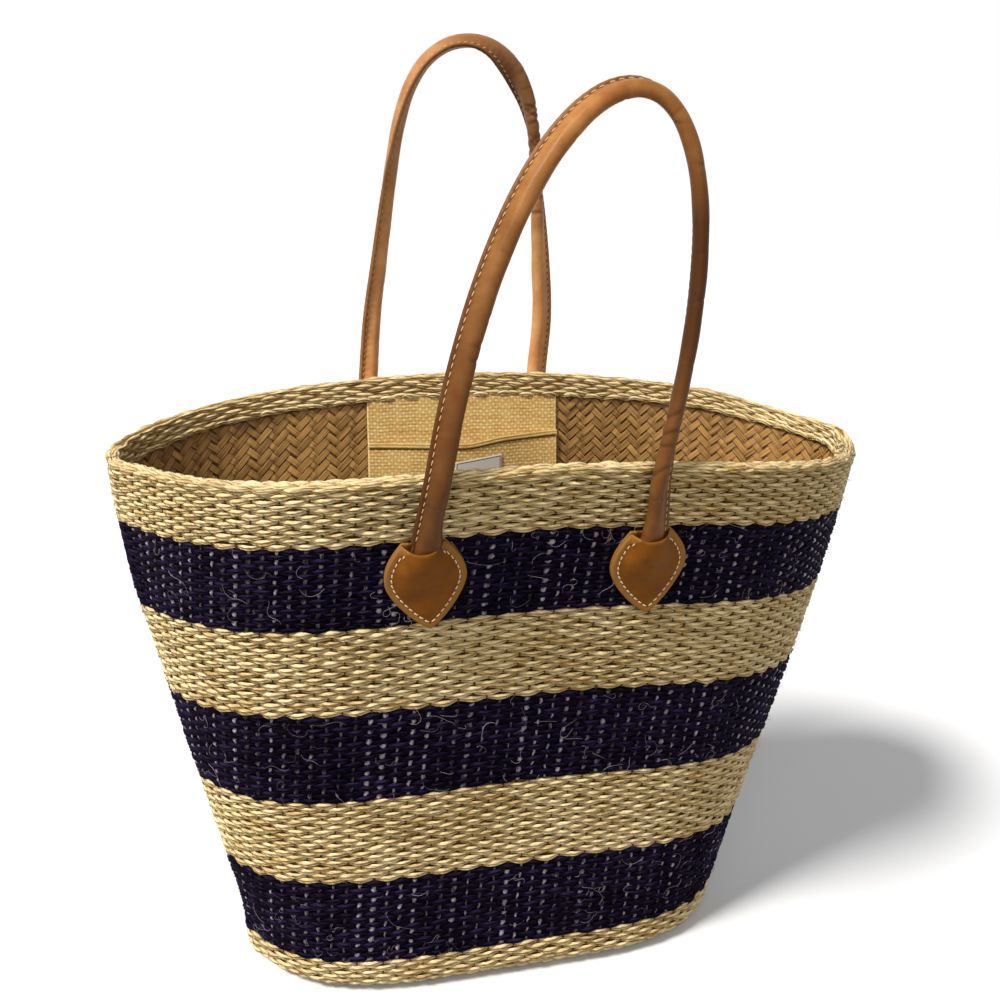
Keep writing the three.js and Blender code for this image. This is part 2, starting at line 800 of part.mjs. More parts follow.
function addLining() {
  const lining = new THREE.Group();
  add(lining, 'liner_wall', linerWall(), palmLeaf);
  const base = basePlate(BASE_CORNER + SEAT_GAP, LINER_INSET, LINER_FACE);
  add(lining, 'liner_base', base, palmLeaf);
  add(lining, 'pocket_back_cloth', pocketBackCloth(), raffiaCloth);
  add(lining, 'pocket_front_cloth', pocketFrontCloth(), raffiaCloth);
  add(lining, 'pocket_hem', pocketHem(), raffiaCloth);
  add(lining, 'blank_label', blankLabel(), labelTape);
  bag.add(lining);
}

// One handle: two legs that hinge at the tab mouths, and the loop that they carry
function addHandle(name, side, handle, turn) {
  const group = new THREE.Group();
  for (const [end, sign] of [
    ['left', -1],
    ['right', 1],
  ]) {
    const tab = { x: TAB_MIDDLE_X + (sign * TAB_SPACING) / 2, side };
    add(group, `${name}_${end}_tab_backing`, tabBacking(tab), brownLeather);
    add(group, `${name}_${end}_tab_face`, tabFace(tab), brownLeather);
    add(group, `${name}_${end}_handle_end`, handleEnd(tab), tanLeather);
  }
  const path = handlePath(side, handle);
  const length = path.getLength();
  const pivotZ = wallHeight(1, TAB_MIDDLE_X) + LEAN_PIVOT_RISE;
  const loopStart = shareAtHeight(path, pivotZ, false);
  const loopEnd = shareAtHeight(path, pivotZ, true);
  const gap = SEAT_GAP / length;
  const finStart = FIN_START / length;
  const spans = {
    loop: [loopStart + gap / 2, loopEnd - gap / 2],
    left: [0, loopStart - gap / 2],
    right: [loopEnd + gap / 2, 1],
  };
  for (const [piece, [start, end]] of Object.entries(spans)) {
    const tube = new HandleStretch(path, start, end);
    const fin = new HandleStretch(
      path,
      Math.max(start, finStart),
      Math.min(end, 1 - finStart),
      turn,
    );
    const steps = piece === 'loop' ? LOOP_STEPS : LEG_STEPS;
    const title = piece === 'loop' ? `${name}_loop` : `${name}_${piece}_leg`;
    add(group, `${title}_skin`, finnedSkin(tube, fin, steps), tanLeather);
    add(group, `${title}_core`, sweep(coreSection(), tube, steps), cottonCord);
  }
  bag.add(group);
}

addCover();
addLining();
addHandle('front', FRONT, FRONT_HANDLE, FRONT_FIN_TURN);
addHandle('back', BACK, BACK_HANDLE, BACK_FIN_TURN);

export default bag;
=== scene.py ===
"""Looks of a straw tote bag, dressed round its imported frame.

Lengths are in metres, +Z is up and the front wall faces -Y. Yarns, plaited strips, leather and
stitches are worked out on the frame's own wall: a superellipse whose width, depth and powers
change with height.
"""

from math import comb

import bpy
import numpy as np
from mathutils import Matrix, Vector


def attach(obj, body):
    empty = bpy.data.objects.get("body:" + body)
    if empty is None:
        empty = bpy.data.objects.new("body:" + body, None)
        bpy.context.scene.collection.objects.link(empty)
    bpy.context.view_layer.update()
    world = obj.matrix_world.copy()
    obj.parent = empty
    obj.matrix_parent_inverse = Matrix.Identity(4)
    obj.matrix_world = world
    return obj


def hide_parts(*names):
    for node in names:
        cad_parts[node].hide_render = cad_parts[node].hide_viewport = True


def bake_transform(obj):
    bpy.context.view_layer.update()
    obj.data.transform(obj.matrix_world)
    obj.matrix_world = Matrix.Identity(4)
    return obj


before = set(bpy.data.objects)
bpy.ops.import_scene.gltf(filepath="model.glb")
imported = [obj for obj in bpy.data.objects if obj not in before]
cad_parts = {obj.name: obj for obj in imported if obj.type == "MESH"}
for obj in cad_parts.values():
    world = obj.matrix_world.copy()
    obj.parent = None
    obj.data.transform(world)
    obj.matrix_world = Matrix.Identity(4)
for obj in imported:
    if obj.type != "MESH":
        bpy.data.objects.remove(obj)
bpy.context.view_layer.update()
rng = np.random.default_rng(11)

FRONT = -1
BACK = 1

# The wall, as the frame has it: full widths and half depths at 0, 1/3, 2/3 and 1 of its height
BAG_HEIGHT = 0.362
WIDTHS = (0.314, 0.362, 0.414, 0.450)
DEPTHS = (0.058, 0.069, 0.090, 0.122)
BACK_RIM_DEPTH = 0.0865
RIM_DIP = 0.024
SIDE_POWERS = (4.3, 4.0)
WALL_POWERS = {FRONT: (1.5, 1.0), BACK: (1.5, 2.0)}
BASE_CORNER = 0.014

# How the two walls run into each other at the side tips, by distance from the tip
TIP_ROUND = 0.012
TIP_REACH = 0.022
TIP_BLUR = 0.6

# Where the real bag leaves the even walls: it is fuller at the left tip, and its rim has settled.
# Each pair is where the change starts and where it is complete.
LEFT_FULL = 0.0024
LEFT_FULL_RISE = (0.21, 0.27)
LEFT_FULL_FALL = (0.325, 0.35)
LEFT_FULL_FOOT = (0.05, 0.01)
LEFT_RIM_LOSS = 0.9
LEFT_FOOT_GAIN = 1.4
BACK_SAG = 0.0026
BACK_SAG_TIP = (0.01, 0.06)
RIGHT_SAG = 0.0036
RIGHT_SAG_X = (0.16, 0.21)
SAG_Z = (0.322, 0.356)

# The cover's bands, from the rim down: name, lower edge and weft rows
COVER_TOP = 0.358
BANDS = (
    ("natural_band_rim", 0.3246, 12),
    ("navy_band_upper", 0.2744, 17),
    ("natural_band_upper", 0.2178, 17),
    ("navy_band_middle", 0.1553, 17),
    ("natural_band_lower", 0.0922, 18),
    ("navy_band_lower", 0.0269, 16),
    ("natural_band_foot", 0.0, 9),
)
COVER_THICK = 0.0032
WARP_PITCH_RIM = 0.0076
WARP_PITCH_BASE = 0.0083
YARN_STEP = 0.00188

# The layers inside the cover
LINER_INSET = 0.0035
LINER_FACE = 0.0053
TURNOVER_FACE = 0.0082
TURNOVER_EDGE = 0.343
STRIP_SPACING = 0.00485
STRIP_ANGLE = np.radians(42)


def through(values, t):
    """Cubic through four values at t 0, 1/3, 2/3 and 1, by Lagrange's formula."""
    stops = (0, 1 / 3, 2 / 3, 1)
    total = 0
    for i, here in enumerate(stops):
        weight = 1
        for j, other in enumerate(stops):
            if j != i:
                weight = weight * (t - other) / (here - other)
        total = total + values[i] * weight
    return total


def mix(a, b, share):
    return a + (b - a) * share


def smooth(share):
    """0 below 0, 1 above 1 and 3s^2 - 2s^3 between."""
    s = np.clip(share, 0, 1)
    return s * s * (3 - 2 * s)


def ramp(value, start, end):
    """0 up to the start, 1 from the end on and smooth between, with the end above or below."""
    return smooth((value - start) / (end - start))


def unit(vectors):
    return vectors / np.maximum(np.linalg.norm(vectors, axis=-1, keepdims=True), 1e-12)


def half_width(t):
    return through(WIDTHS, t) / 2


def wall_depth(t, side):
    """Half depth of one wall: both bulge alike, and the front one flares further out."""
    front = through(DEPTHS, t)
    return front if side == FRONT else front + (BACK_RIM_DEPTH - DEPTHS[3]) * t


def wall_height(t, x):
    """Height at share t, with a rim that dips towards the side tips as x squared."""
    return BAG_HEIGHT * t - RIM_DIP * np.sin(np.pi * t / 2) * (x / half_width(t)) ** 2


def wall_point(x, t, inset, side):
    """Point at x and share t of the height, moved in by the inset. Its y is the depth times
    (1 - |x / half width|^side power)^(1 / wall power)."""
    share = np.clip(np.abs(x) / (half_width(t) - inset), 0, 1)
    bulge = (1 - share ** mix(*SIDE_POWERS, t)) ** (1 / mix(*WALL_POWERS[side], t))
    y = side * (wall_depth(t, side) - inset) * bulge
    return np.stack(np.broadcast_arrays(x, y, wall_height(t, x)), -1)


class Wall:
    """One wall as a table of points, outward and upward directions. It is read at a height up
    the wall, measured along its middle from the base's flat, and at a share across it, with -1
    and 1 at the tips."""

    CORNER_ROWS = 14
    ROWS = 200
    COLUMNS = 901

    def __init__(self, side):
        bend = np.linspace(0, np.pi / 2, self.CORNER_ROWS, endpoint=False)
        corner_t = BASE_CORNER * (1 - np.cos(bend)) / BAG_HEIGHT
        wall_t = np.linspace(BASE_CORNER / BAG_HEIGHT, 1, self.ROWS)
        self.t = np.concatenate([corner_t, wall_t])
        inset = np.concatenate([BASE_CORNER * (1 - np.sin(bend)), np.zeros(self.ROWS)])
        angle = np.linspace(np.pi, 0, 2 * self.COLUMNS)
        t = self.t[:, None]
        x = (half_width(t) - inset[:, None]) * np.cos(angle)
        fine = wall_point(x, t, inset[:, None], side)
        arc = np.cumsum(np.linalg.norm(np.diff(fine, axis=1, prepend=fine[:, :1]), axis=-1), axis=1)
        self.length = arc[:, -1]
        shares = np.linspace(0, 1, self.COLUMNS)
        self.points = np.stack(
            [
                [np.interp(shares * arc[r, -1], arc[r], fine[r, :, k]) for k in range(3)]
                for r in range(len(self.t))
            ]
        ).transpose(0, 2, 1)
        middle = self.points[:, self.COLUMNS // 2]
        steps = np.linalg.norm(np.diff(middle, axis=0, prepend=middle[:1]), axis=-1)
        self.v = np.cumsum(steps)
        across = unit(np.gradient(self.points, axis=1))
        self.up = unit(np.gradient(self.points, self.v, axis=0))
        self.out = unit(np.cross(across, self.up)) * -side

    def rounded_out(self, other):
        """Outward directions that turn to the mean of both walls' near the tips."""
        tips = unit(self.out[:, [0, -1]] + other.out[:, [0, -1]])
        share = np.linspace(-1, 1, self.COLUMNS)
        out = self.out
        for k, sign in enumerate((-1, 1)):
            gap = (1 - sign * share)[None, :] * self.length[:, None] / 2
            weight = (1 - smooth(gap / TIP_ROUND))[..., None]
            out = unit(mix(out, tips[:, k : k + 1], weight))
        return out

    def height_at(self, t):
        return np.interp(t, self.t, self.v)

    def half_length(self, v):
        return np.interp(v, self.v, self.length) / 2

    def at(self, v, share):
        """Point, outward and upward direction, each mixed between the four nearest entries."""
        v, share = np.broadcast_arrays(v, share)
        row = np.clip(np.interp(v, self.v, np.arange(len(self.v))), 0, len(self.v) - 1.001)
        column = np.clip((share + 1) / 2 * (self.COLUMNS - 1), 0, self.COLUMNS - 1.001)
        i = row.astype(int)
        j = column.astype(int)
        a = (row - i)[..., None]
        b = (column - j)[..., None]

        def read(table):
            low = mix(table[i, j], table[i, j + 1], b)
            high = mix(table[i + 1, j], table[i + 1, j + 1], b)
            return mix(low, high, a)

        return read(self.points), unit(read(self.out)), unit(read(self.up))


walls = {side: Wall(side) for side in (FRONT, BACK)}
rounded_tables = {side: walls[side].rounded_out(walls[-side]) for side in walls}
for wall_side, rounded_table in rounded_tables.items():
    walls[wall_side].out = rounded_table


def warp_pitch(v):
    """Spacing of the warps, a little closer at the rim than at the base."""
    return mix(WARP_PITCH_BASE, WARP_PITCH_RIM, v / walls[FRONT].v[-1])


def cover_height(z):
    """Height up the wall at a level of the front's middle."""
    return walls[FRONT].height_at(z / BAG_HEIGHT)


class Ring:
    """Stations evenly spaced once round the wall at each of the heights v, from the left tip past
    the front and back again. Each has its point, outward and upward direction, metres along,
    warps counted from the wall's middle, and metres from the nearer tip."""

    def __init__(self, v, count):
        v = np.asarray(v, float)[:, None]
        half = {side: walls[side].half_length(v) for side in walls}
        self.total = 2 * (half[FRONT] + half[BACK])
        self.along = np.arange(count)[None, :] / count * self.total
        self.on_front = self.along < 2 * half[FRONT]
        front_share = np.clip(self.along / half[FRONT] - 1, -1, 1)
        back_share = np.clip(1 - (self.along - 2 * half[FRONT]) / half[BACK], -1, 1)
        front = walls[FRONT].at(v, front_share)
        back = walls[BACK].at(v, back_share)
        self.point, self.out, self.up = (
            np.where(self.on_front[..., None], f, b) for f, b in zip(front, back)
        )
        share = np.where(self.on_front, front_share, back_share)
        length = np.where(self.on_front, half[FRONT], half[BACK])
        self.warp = share * length / warp_pitch(v)
        self.tip = (1 - np.abs(share)) * length
        near = (1 - smooth(self.tip / TIP_REACH))[..., None]
        self.join_tips(near, int(TIP_REACH * TIP_BLUR * count / float(self.total.mean())))
        self.settle(near)

    def join_tips(self, near, reach):
        """Near the tips, take the weighted mean of so many stations to either side."""
        offsets = np.arange(-reach, reach + 1)
        weights = 1 - (offsets / (reach + 1)) ** 2
        for name in ("point", "out"):
            table = getattr(self, name)
            mean = sum(np.roll(table, k, 1) * w for k, w in zip(offsets, weights)) / weights.sum()
            setattr(self, name, mix(table, mean, near))
        self.out = unit(self.out)

    def settle(self, near):
        """Fill out the left tip and let the rim sag along the back and at the right."""
        left = (self.point[..., 0] < 0)[..., None]
        z = self.point[..., 2:]
        full = ramp(z, *LEFT_FULL_RISE) * (1 - LEFT_RIM_LOSS * ramp(z, *LEFT_FULL_FALL))
        full = full + LEFT_FOOT_GAIN * ramp(z, *LEFT_FULL_FOOT)
        self.point = self.point + self.out * near * left * full * LEFT_FULL
        x, height = self.point[..., 0], self.point[..., 2]
        sag = BACK_SAG * ~self.on_front * ramp(self.tip, *BACK_SAG_TIP)
        sag = sag + RIGHT_SAG * ramp(x, *RIGHT_SAG_X)
        self.point[..., 2] = height - sag * ramp(height, *SAG_Z)

    def wander(self, waves, size):
        """Smooth noise along each row: a sum of whole waves round the ring with random phases."""
        total = np.zeros_like(self.along)
        for count in waves:
            phase = rng.uniform(0, 2 * np.pi, (len(self.along), 1))
            total += np.sin(2 * np.pi * count * self.along / self.total + phase)
        return total * size / np.sqrt(len(waves))


# Meshes: grids of points, closed round a section and capped or closed along


def lattice(grids, stations, sides, ring=False, tube=True):
    """Quads of so many grids of stations by sides."""
    start = np.arange(grids)[:, None, None] * stations * sides
    i = np.arange(stations if ring else stations - 1)[None, :, None]
    k = np.arange(sides if tube else sides - 1)[None, None, :]
    after = (i + 1) % stations
    beside = (k + 1) % sides
    corners = [i * sides + k, after * sides + k, after * sides + beside, i * sides + beside]
    return np.stack([start + c for c in corners], -1).reshape(-1, 4)


def end_caps(grids, stations, sides):
    start = np.arange(grids)[:, None] * stations * sides
    k = np.arange(sides)[None, :]
    return np.concatenate([start + k, start + (stations - 1) * sides + k[:, ::-1]])


def tubes(points, fibre, ring=False):
    """Part of a piece from tubes, shaped (tubes, stations, sides, 3), and their fibre values."""
    count, stations, sides = points.shape[:3]
    faces = [lattice(count, stations, sides, ring)]
    if not ring:
        faces.append(end_caps(count, stations, sides))
    return points.reshape(-1, 3), faces, np.broadcast_to(fibre, points.shape).reshape(-1, 3)


def turns_of(sides):
    """Evenly spaced angles round a section."""
    return np.linspace(0, 2 * np.pi, sides, endpoint=False)


def section(centre, out, up, thick, tall, angles):
    """Points round a centre line: thick along out by the cosine of each angle, and tall along up
    by its sine. Out and up may be one direction for the whole line."""
    centre, out, up = np.broadcast_arrays(centre, out, up)
    thick, tall = (np.broadcast_to(size, centre.shape[:-1])[..., None] for size in (thick, tall))
    side = out[..., None, :] * (thick * np.cos(angles))[..., None]
    rise = up[..., None, :] * (tall * np.sin(angles))[..., None]
    return centre[..., None, :] + side + rise


def fibre_of(along, angles, width, tone):
    """Fibre values: metres along the yarn, metres round it, and its tone from 0 to 1."""
    around = angles / (2 * np.pi) * width
    return np.stack(np.broadcast_arrays(along[..., None], around, tone[..., None]), -1)


def placed(name, data):
    """New object of some data, in the scene."""
    made = bpy.data.objects.new(name, data)
    bpy.context.scene.collection.objects.link(made)
    return made


def piece(name, parts, material, body, replaced=(), smooth_faces=True):
    """One mesh from parts of points, faces and fibre values. Its faces are turned to point out.
    It rides on a body, if it is given one, and hides the replaced nodes."""
    points = np.concatenate([p for p, _, _ in parts]).astype(np.float32)
    fibre = np.concatenate([f for _, _, f in parts]).astype(np.float32)
    offsets = np.cumsum([0] + [len(p) for p, _, _ in parts])
    faces = [group + offset for (_, groups, _), offset in zip(parts, offsets) for group in groups]
    volume = 0.0
    for group in faces:
        first = points[group[:, 0]].astype(float)
        for k in range(1, group.shape[1] - 1):
            crossed = np.cross(points[group[:, k]], points[group[:, k + 1]])
            volume += float((first * crossed).sum())
    if volume < 0:
        faces = [group[:, ::-1] for group in faces]
    mesh = bpy.data.meshes.new(name)
    mesh.vertices.add(len(points))
    mesh.vertices.foreach_set("co", points.ravel())
    loops = np.concatenate([group.ravel() for group in faces]).astype(np.int32)
    sizes = np.concatenate([np.full(len(group), group.shape[1]) for group in faces])
    mesh.loops.add(len(loops))
    mesh.loops.foreach_set("vertex_index", loops)
    mesh.polygons.add(len(sizes))
    mesh.polygons.foreach_set("loop_start", (np.cumsum(sizes) - sizes).astype(np.int32))
    mesh.polygons.foreach_set("use_smooth", np.full(len(sizes), smooth_faces))
    mesh.update(calc_edges=True)
    mesh.attributes.new("fibre", "FLOAT_VECTOR", "POINT").data.foreach_set("vector", fibre.ravel())
    mesh.materials.append(material)
    obj = placed(name, mesh)
    if replaced:
        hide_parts(*replaced)
    if body:
        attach(obj, body)
    return obj


# Materials


def put(tree, socket, value):
    """Link another node's socket to an input, or set the input's own value."""
    if isinstance(value, bpy.types.NodeSocket):
        tree.links.new(value, socket)
    else:
        socket.default_value = value


def add(tree, kind, inputs=None, **settings):
    """Node with its settings and inputs."""
    made = tree.nodes.new(kind)
    for key, value in settings.items():
        setattr(made, key, value)
    for key, value in (inputs or {}).items():
        put(tree, made.inputs[key], value)
    return made


def math_node(tree, operation, *values, clamp=False):
    inputs = dict(enumerate(values))
    return add(tree, "ShaderNodeMath", inputs, operation=operation, use_clamp=clamp).outputs[0]


def noise(tree, place, scale, detail, roughness=0.5):
    inputs = {"Vector": place, "Scale": scale, "Detail": detail, "Roughness": roughness}
    return add(tree, "ShaderNodeTexNoise", inputs).outputs[0]


def spread(tree, value, start, end, low=0.0, high=1.0):
    """Values from start to end, drawn out from low to high."""
    inputs = {0: value, 1: start, 2: end, 3: low, 4: high}
    return add(tree, "ShaderNodeMapRange", inputs).outputs[0]


def object_place(tree):
    return add(tree, "ShaderNodeTexCoord").outputs["Object"]


def fibre_values(tree):
    """The three fibre values of a point, each a socket."""
    attribute = add(tree, "ShaderNodeAttribute", attribute_name="fibre")
    return add(tree, "ShaderNodeSeparateXYZ", {0: attribute.outputs["Vector"]}).outputs


def new_group(name, inputs, outputs):
    """Empty shader group with named sockets, and its input and output nodes."""
    group = bpy.data.node_groups.new(name, "ShaderNodeTree")
    for labels, way in ((inputs, "INPUT"), (outputs, "OUTPUT")):
        for label in labels:
            kind = "NodeSocketVector" if label == "Fibre" else "NodeSocketFloat"
            group.interface.new_socket(label, in_out=way, socket_type=kind)
    return group, group.nodes.new("NodeGroupInput"), group.nodes.new("NodeGroupOutput")


def fibre_group():
    """Fine strands along a yarn: noise stretched along the fibre attribute."""
    labels = ("Fibre", "Across", "Along")
    group, given, result = new_group("Fibre strands", labels, ("Strand", "Tone"))
    split = add(group, "ShaderNodeSeparateXYZ", {0: given.outputs["Fibre"]})
    across = math_node(group, "MULTIPLY", split.outputs[1], given.outputs["Across"])
    along = math_node(group, "MULTIPLY", split.outputs[0], given.outputs["Along"])
    place = add(group, "ShaderNodeCombineXYZ", {0: along, 1: across})
    strands = noise(group, place.outputs[0], 1.0, 2.0)
    put(group, result.inputs["Strand"], spread(group, strands, 0.28, 0.72))
    put(group, result.inputs["Tone"], split.outputs[2])
    return group


def patch_group():
    """Slow uneven patches in Object coordinates, for dye, dirt and sun."""
    group, given, result = new_group("Uneven patches", ("Scale", "Detail"), ("Patch",))
    place = object_place(group)
    blotches = noise(group, place, given.outputs["Scale"], given.outputs["Detail"])
    put(group, result.inputs["Patch"], spread(group, blotches, 0.3, 0.7))
    return group


def grain_group():
    """Leather grain: small rounded cells with fine creases between, over a soft mottle."""
    group, given, result = new_group("Leather grain", ("Scale",), ("Height", "Mottle"))
    place = object_place(group)
    inputs = {"Vector": place, "Scale": given.outputs["Scale"]}
    cells = add(group, "ShaderNodeTexVoronoi", inputs, feature="SMOOTH_F1")
    broad = math_node(group, "MULTIPLY", given.outputs["Scale"], 0.06)
    mottle = noise(group, place, broad, 5.0, 0.62)
    height = math_node(group, "MULTIPLY_ADD", cells.outputs[0], 0.6, mottle)
    put(group, result.inputs["Height"], height)
    put(group, result.inputs["Mottle"], spread(group, mottle, 0.3, 0.7))
    return group


# A yarn's light share: of its strands and of its tone, less a base and the share of its patches.
# Under the tone DEEP_BELOW it is in deep shade.
STRAND_SHARE = 0.8
TONE_SHARE = 0.95
TONE_BASE = -0.38
YARN_PATCHES = {"Scale": 14.0, "Detail": 3.0}
PATCH_SHARE = 0.25
DEEP_BELOW = -0.5

# Leather: cells to a metre, its patches and their share, the share of wear and painted shade, the
# range of its roughness, and the height and strength of its grain
GRAIN_SCALE = 1500.0
LEATHER_PATCHES = {"Scale": 32.0, "Detail": 4.0}
FAINT_SHARE = 0.35
WEAR_AND_SHADE_SHARE = 0.85
ROUGHNESS_RANGE = (-0.07, 0.08)
GRAIN_RELIEF = (0.00012, 0.7)

FIBRES = fibre_group()
PATCHES = patch_group()
GRAIN = grain_group()


def srgb(red, green, blue):
    """Colour written as 0 to 255 screen values, in the linear values that the shader takes."""
    c = np.array([red, green, blue]) / 255
    linear = np.where(c <= 0.04045, c / 12.92, ((c + 0.055) / 1.055) ** 2.4)
    return (*linear.tolist(), 1.0)


def new_material(name):
    made = bpy.data.materials.new(name)
    made.use_nodes = True
    tree = made.node_tree
    return made, tree, tree.nodes["Principled BSDF"]


def mix_colour(tree, share, a, b):
    return add(tree, "ShaderNodeMix", {0: share, 6: a, 7: b}, data_type="RGBA").outputs[2]


def bump(tree, shader, height, distance, strength=1.0):
    inputs = {"Height": height, "Distance": distance, "Strength": strength}
    put(tree, shader.inputs["Normal"], add(tree, "ShaderNodeBump", inputs).outputs[0])


def coat(tree, shader, colour, roughness, specular=0.5):
    """Colour, roughness and sheen of a shader, each a socket or a plain value."""
    put(tree, shader.inputs["Base Color"], colour)
    put(tree, shader.inputs["Roughness"], roughness)
    put(tree, shader.inputs["Specular IOR Level"], specular)


def yarn_material(name, colours, roughness, across, along, relief, specular=0.28):
    """Plant fibre in a deep, a dark and a light colour: a point's tone and its strands mix the last
    two, patches darken them, and a tone far under 0 takes the deep one, a painted deep shade.
    Across and along are strands to a metre."""
    deep, dark, light = (srgb(*colour) for colour in colours)
    made, tree, shader = new_material(name)
    attribute = add(tree, "ShaderNodeAttribute", attribute_name="fibre")
    inputs = {"Fibre": attribute.outputs["Vector"], "Across": across, "Along": along}
    strands = add(tree, "ShaderNodeGroup", inputs, node_tree=FIBRES).outputs
    patches = add(tree, "ShaderNodeGroup", YARN_PATCHES, node_tree=PATCHES)
    share = math_node(tree, "MULTIPLY", strands["Strand"], STRAND_SHARE)
    tone = math_node(tree, "MULTIPLY_ADD", strands["Tone"], TONE_SHARE, TONE_BASE)
    share = math_node(tree, "ADD", share, tone)
    uneven = math_node(tree, "MULTIPLY", patches.outputs["Patch"], PATCH_SHARE)
    share = math_node(tree, "SUBTRACT", share, uneven, clamp=True)
    colour = mix_colour(tree, share, dark, light)
    in_deep_shade = math_node(tree, "LESS_THAN", strands["Tone"], DEEP_BELOW)
    colour = mix_colour(tree, in_deep_shade, colour, deep)
    coat(tree, shader, colour, roughness, specular)
    bump(tree, shader, strands["Strand"], relief)
    return made


natural_straw = yarn_material(
    "natural sisal",
    ((132, 96, 32), (155, 118, 46), (255, 233, 180)),
    roughness=0.65,
    across=800.0,
    along=140.0,
    relief=0.0005,
)
navy_straw = yarn_material(
    "navy sisal",
    ((7, 2, 14), (6, 2, 13), (48, 37, 68)),
    roughness=0.75,
    across=800.0,
    along=140.0,
    relief=0.0005,
    specular=0.04,
)
warp_straw = yarn_material(
    "warp yarn",
    ((84, 60, 26), (46, 36, 42), (200, 190, 200)),
    roughness=0.7,
    across=900.0,
    along=120.0,
    relief=0.0002,
    specular=0.12,
)
palm_leaf = yarn_material(
    "palm leaf strip",
    ((40, 24, 8), (70, 42, 12), (194, 148, 84)),
    roughness=0.42,
    across=1300.0,
    along=24.0,
    relief=0.00008,
)


# Woven cover

# Section of a weft yarn with two strands in sight: where its corners stand round it, how far out
# and up they lie, how far a turn of the yarn moves them up, and how light they are painted: painted
# shade in the valley between the strands and painted highlight on their crests
YARN_ANGLES = np.radians([-104, -48, 0, 48, 104, 180])
STRAND_OUT = np.array([0.0, 0.95, 0.30, 0.95, 0.0, -0.9])
STRAND_UP = np.array([-1.0, -0.55, 0.0, 0.55, 1.0, 0.0])
STRAND_SLIP = np.array([0.0, 0.5, 1.0, 0.5, 0.0, 0.0])
STRAND_SHADE = np.array([0.0, 0.16, -0.75, 0.16, 0.0, 0.0])

# What differs from float to float: how far it stands off, its size, its shift in row pitches and
# its shade, then how far its strands turn, along it and from one to the next
FLOAT_LIFT = (-0.00040, 0.00028)
FLOAT_SIZE = (0.76, 1.16)
FLOAT_SHIFT = 0.12
FLOAT_SHADE = (-0.34, 0.30)
FLOAT_TURN = 0.42
TURN_RANGE = 0.22

# Slow waves round the bag, in whole waves, with their size: of a yarn's shade and of its height
SHADE_WAVES = ((3, 7, 13), 0.06)
DRIFT_WAVES = ((5, 11, 23, 41), 0.08)

# Way round a yarn for its fibres, how they wind along it, and its painted shade: how dark it is
# painted in its dips under the warps, and how much darker its lower side and lighter its upper side
# are painted
YARN_GIRTH = 0.008
FIBRE_WIND = 0.3
DIP_SHADE = 0.4
LOWER_SHADE = 0.08

# Half thickness of a yarn under and over a warp, the depth of its middle, and how far it sinks
YARN_HALF = (0.00068, 0.0014)
YARN_DEPTH = 0.00138
YARN_SINK = 0.0013
FLOAT_OUT = 0.0001
WEAVE_POWER = 0.62
TIP_LEVEL = 0.005
GROUND_GAP = 0.0001

# Each yarn's material and slot, its half height over and under a warp in row pitches, and its tone
WEFT_YARNS = {
    "navy": (navy_straw, "navy_straw", 0.54, 0.38, 0.42),
    "natural": (natural_straw, "natural_straw", 0.57, 0.37, 0.80),
}

# The shade behind the yarns, between two depths
WEB_DEPTHS = (0.0029, COVER_THICK)
WEB_STATIONS = 160
SHADED = np.array([0.0, 0.0, -1.0])

# Warps: half width and thickness, their depth under a weft, how far they rise between natural and
# between navy yarns, and how near to a tip they go
WARP_HALF_WIDTH = (0.0007, 0.0017)
WARP_HALF_THICK = 0.0006
WARP_DEPTH = 0.0028
WARP_RISE = (0.0009, 0.0016)
WARP_MARGIN = 0.0016

# Ranges of a warp along its way: its rise, shift sideways, width and shade, then its width under a
# weft and between natural yarns, and the share of navy below which it is buried in shade
WARP_RISES = (0.7, 1.0)
WARP_SHIFTS = (-0.0004, 0.0004)
WARP_WIDTHS = (0.8, 1.2)
WARP_SHADES = (-0.2, 0.35)
WARP_SHADE_POWER = 1.4
WARP_UNDER = 0.8
WARP_NATURAL = 0.7
WARP_BURIED = 0.6
WARP_GIRTH = 0.004


def band_rows():
    """Band, height and row pitch of each weft row from the rim down."""
    rows = []
    top = COVER_TOP
    for name, low, count in BANDS:
        high_v, low_v = cover_height(top), cover_height(low)
        pitch = (high_v - low_v) / count
        rows += [(name, high_v - (i + 0.5) * pitch, pitch) for i in range(count)]
        top = low
    return zip(*rows)


ROW_BANDS, ROW_HEIGHTS, ROW_PITCHES = (np.array(column) for column in band_rows())


def girth(v):
    """Way round the bag at a height up its wall."""
    return 2 * (walls[FRONT].half_length(v) + walls[BACK].half_length(v))


def weave(warp, row, tip):
    """Share by which a weft rides over the warps: a widened cosine, level near the side tips."""
    wave = (1 + np.cos(np.pi * (warp + row))) / 2
    return mix(0.5, wave**WEAVE_POWER, smooth(tip / TIP_LEVEL))


def per_float(warp, row, low, high):
    """One random value for each float of each row, held from one dip to the next."""
    index = np.rint((warp + row) / 2).astype(int)
    table = rng.uniform(low, high, (len(row), index.max() - index.min() + 1))
    return table[np.arange(len(row))[:, None], index - index.min()]


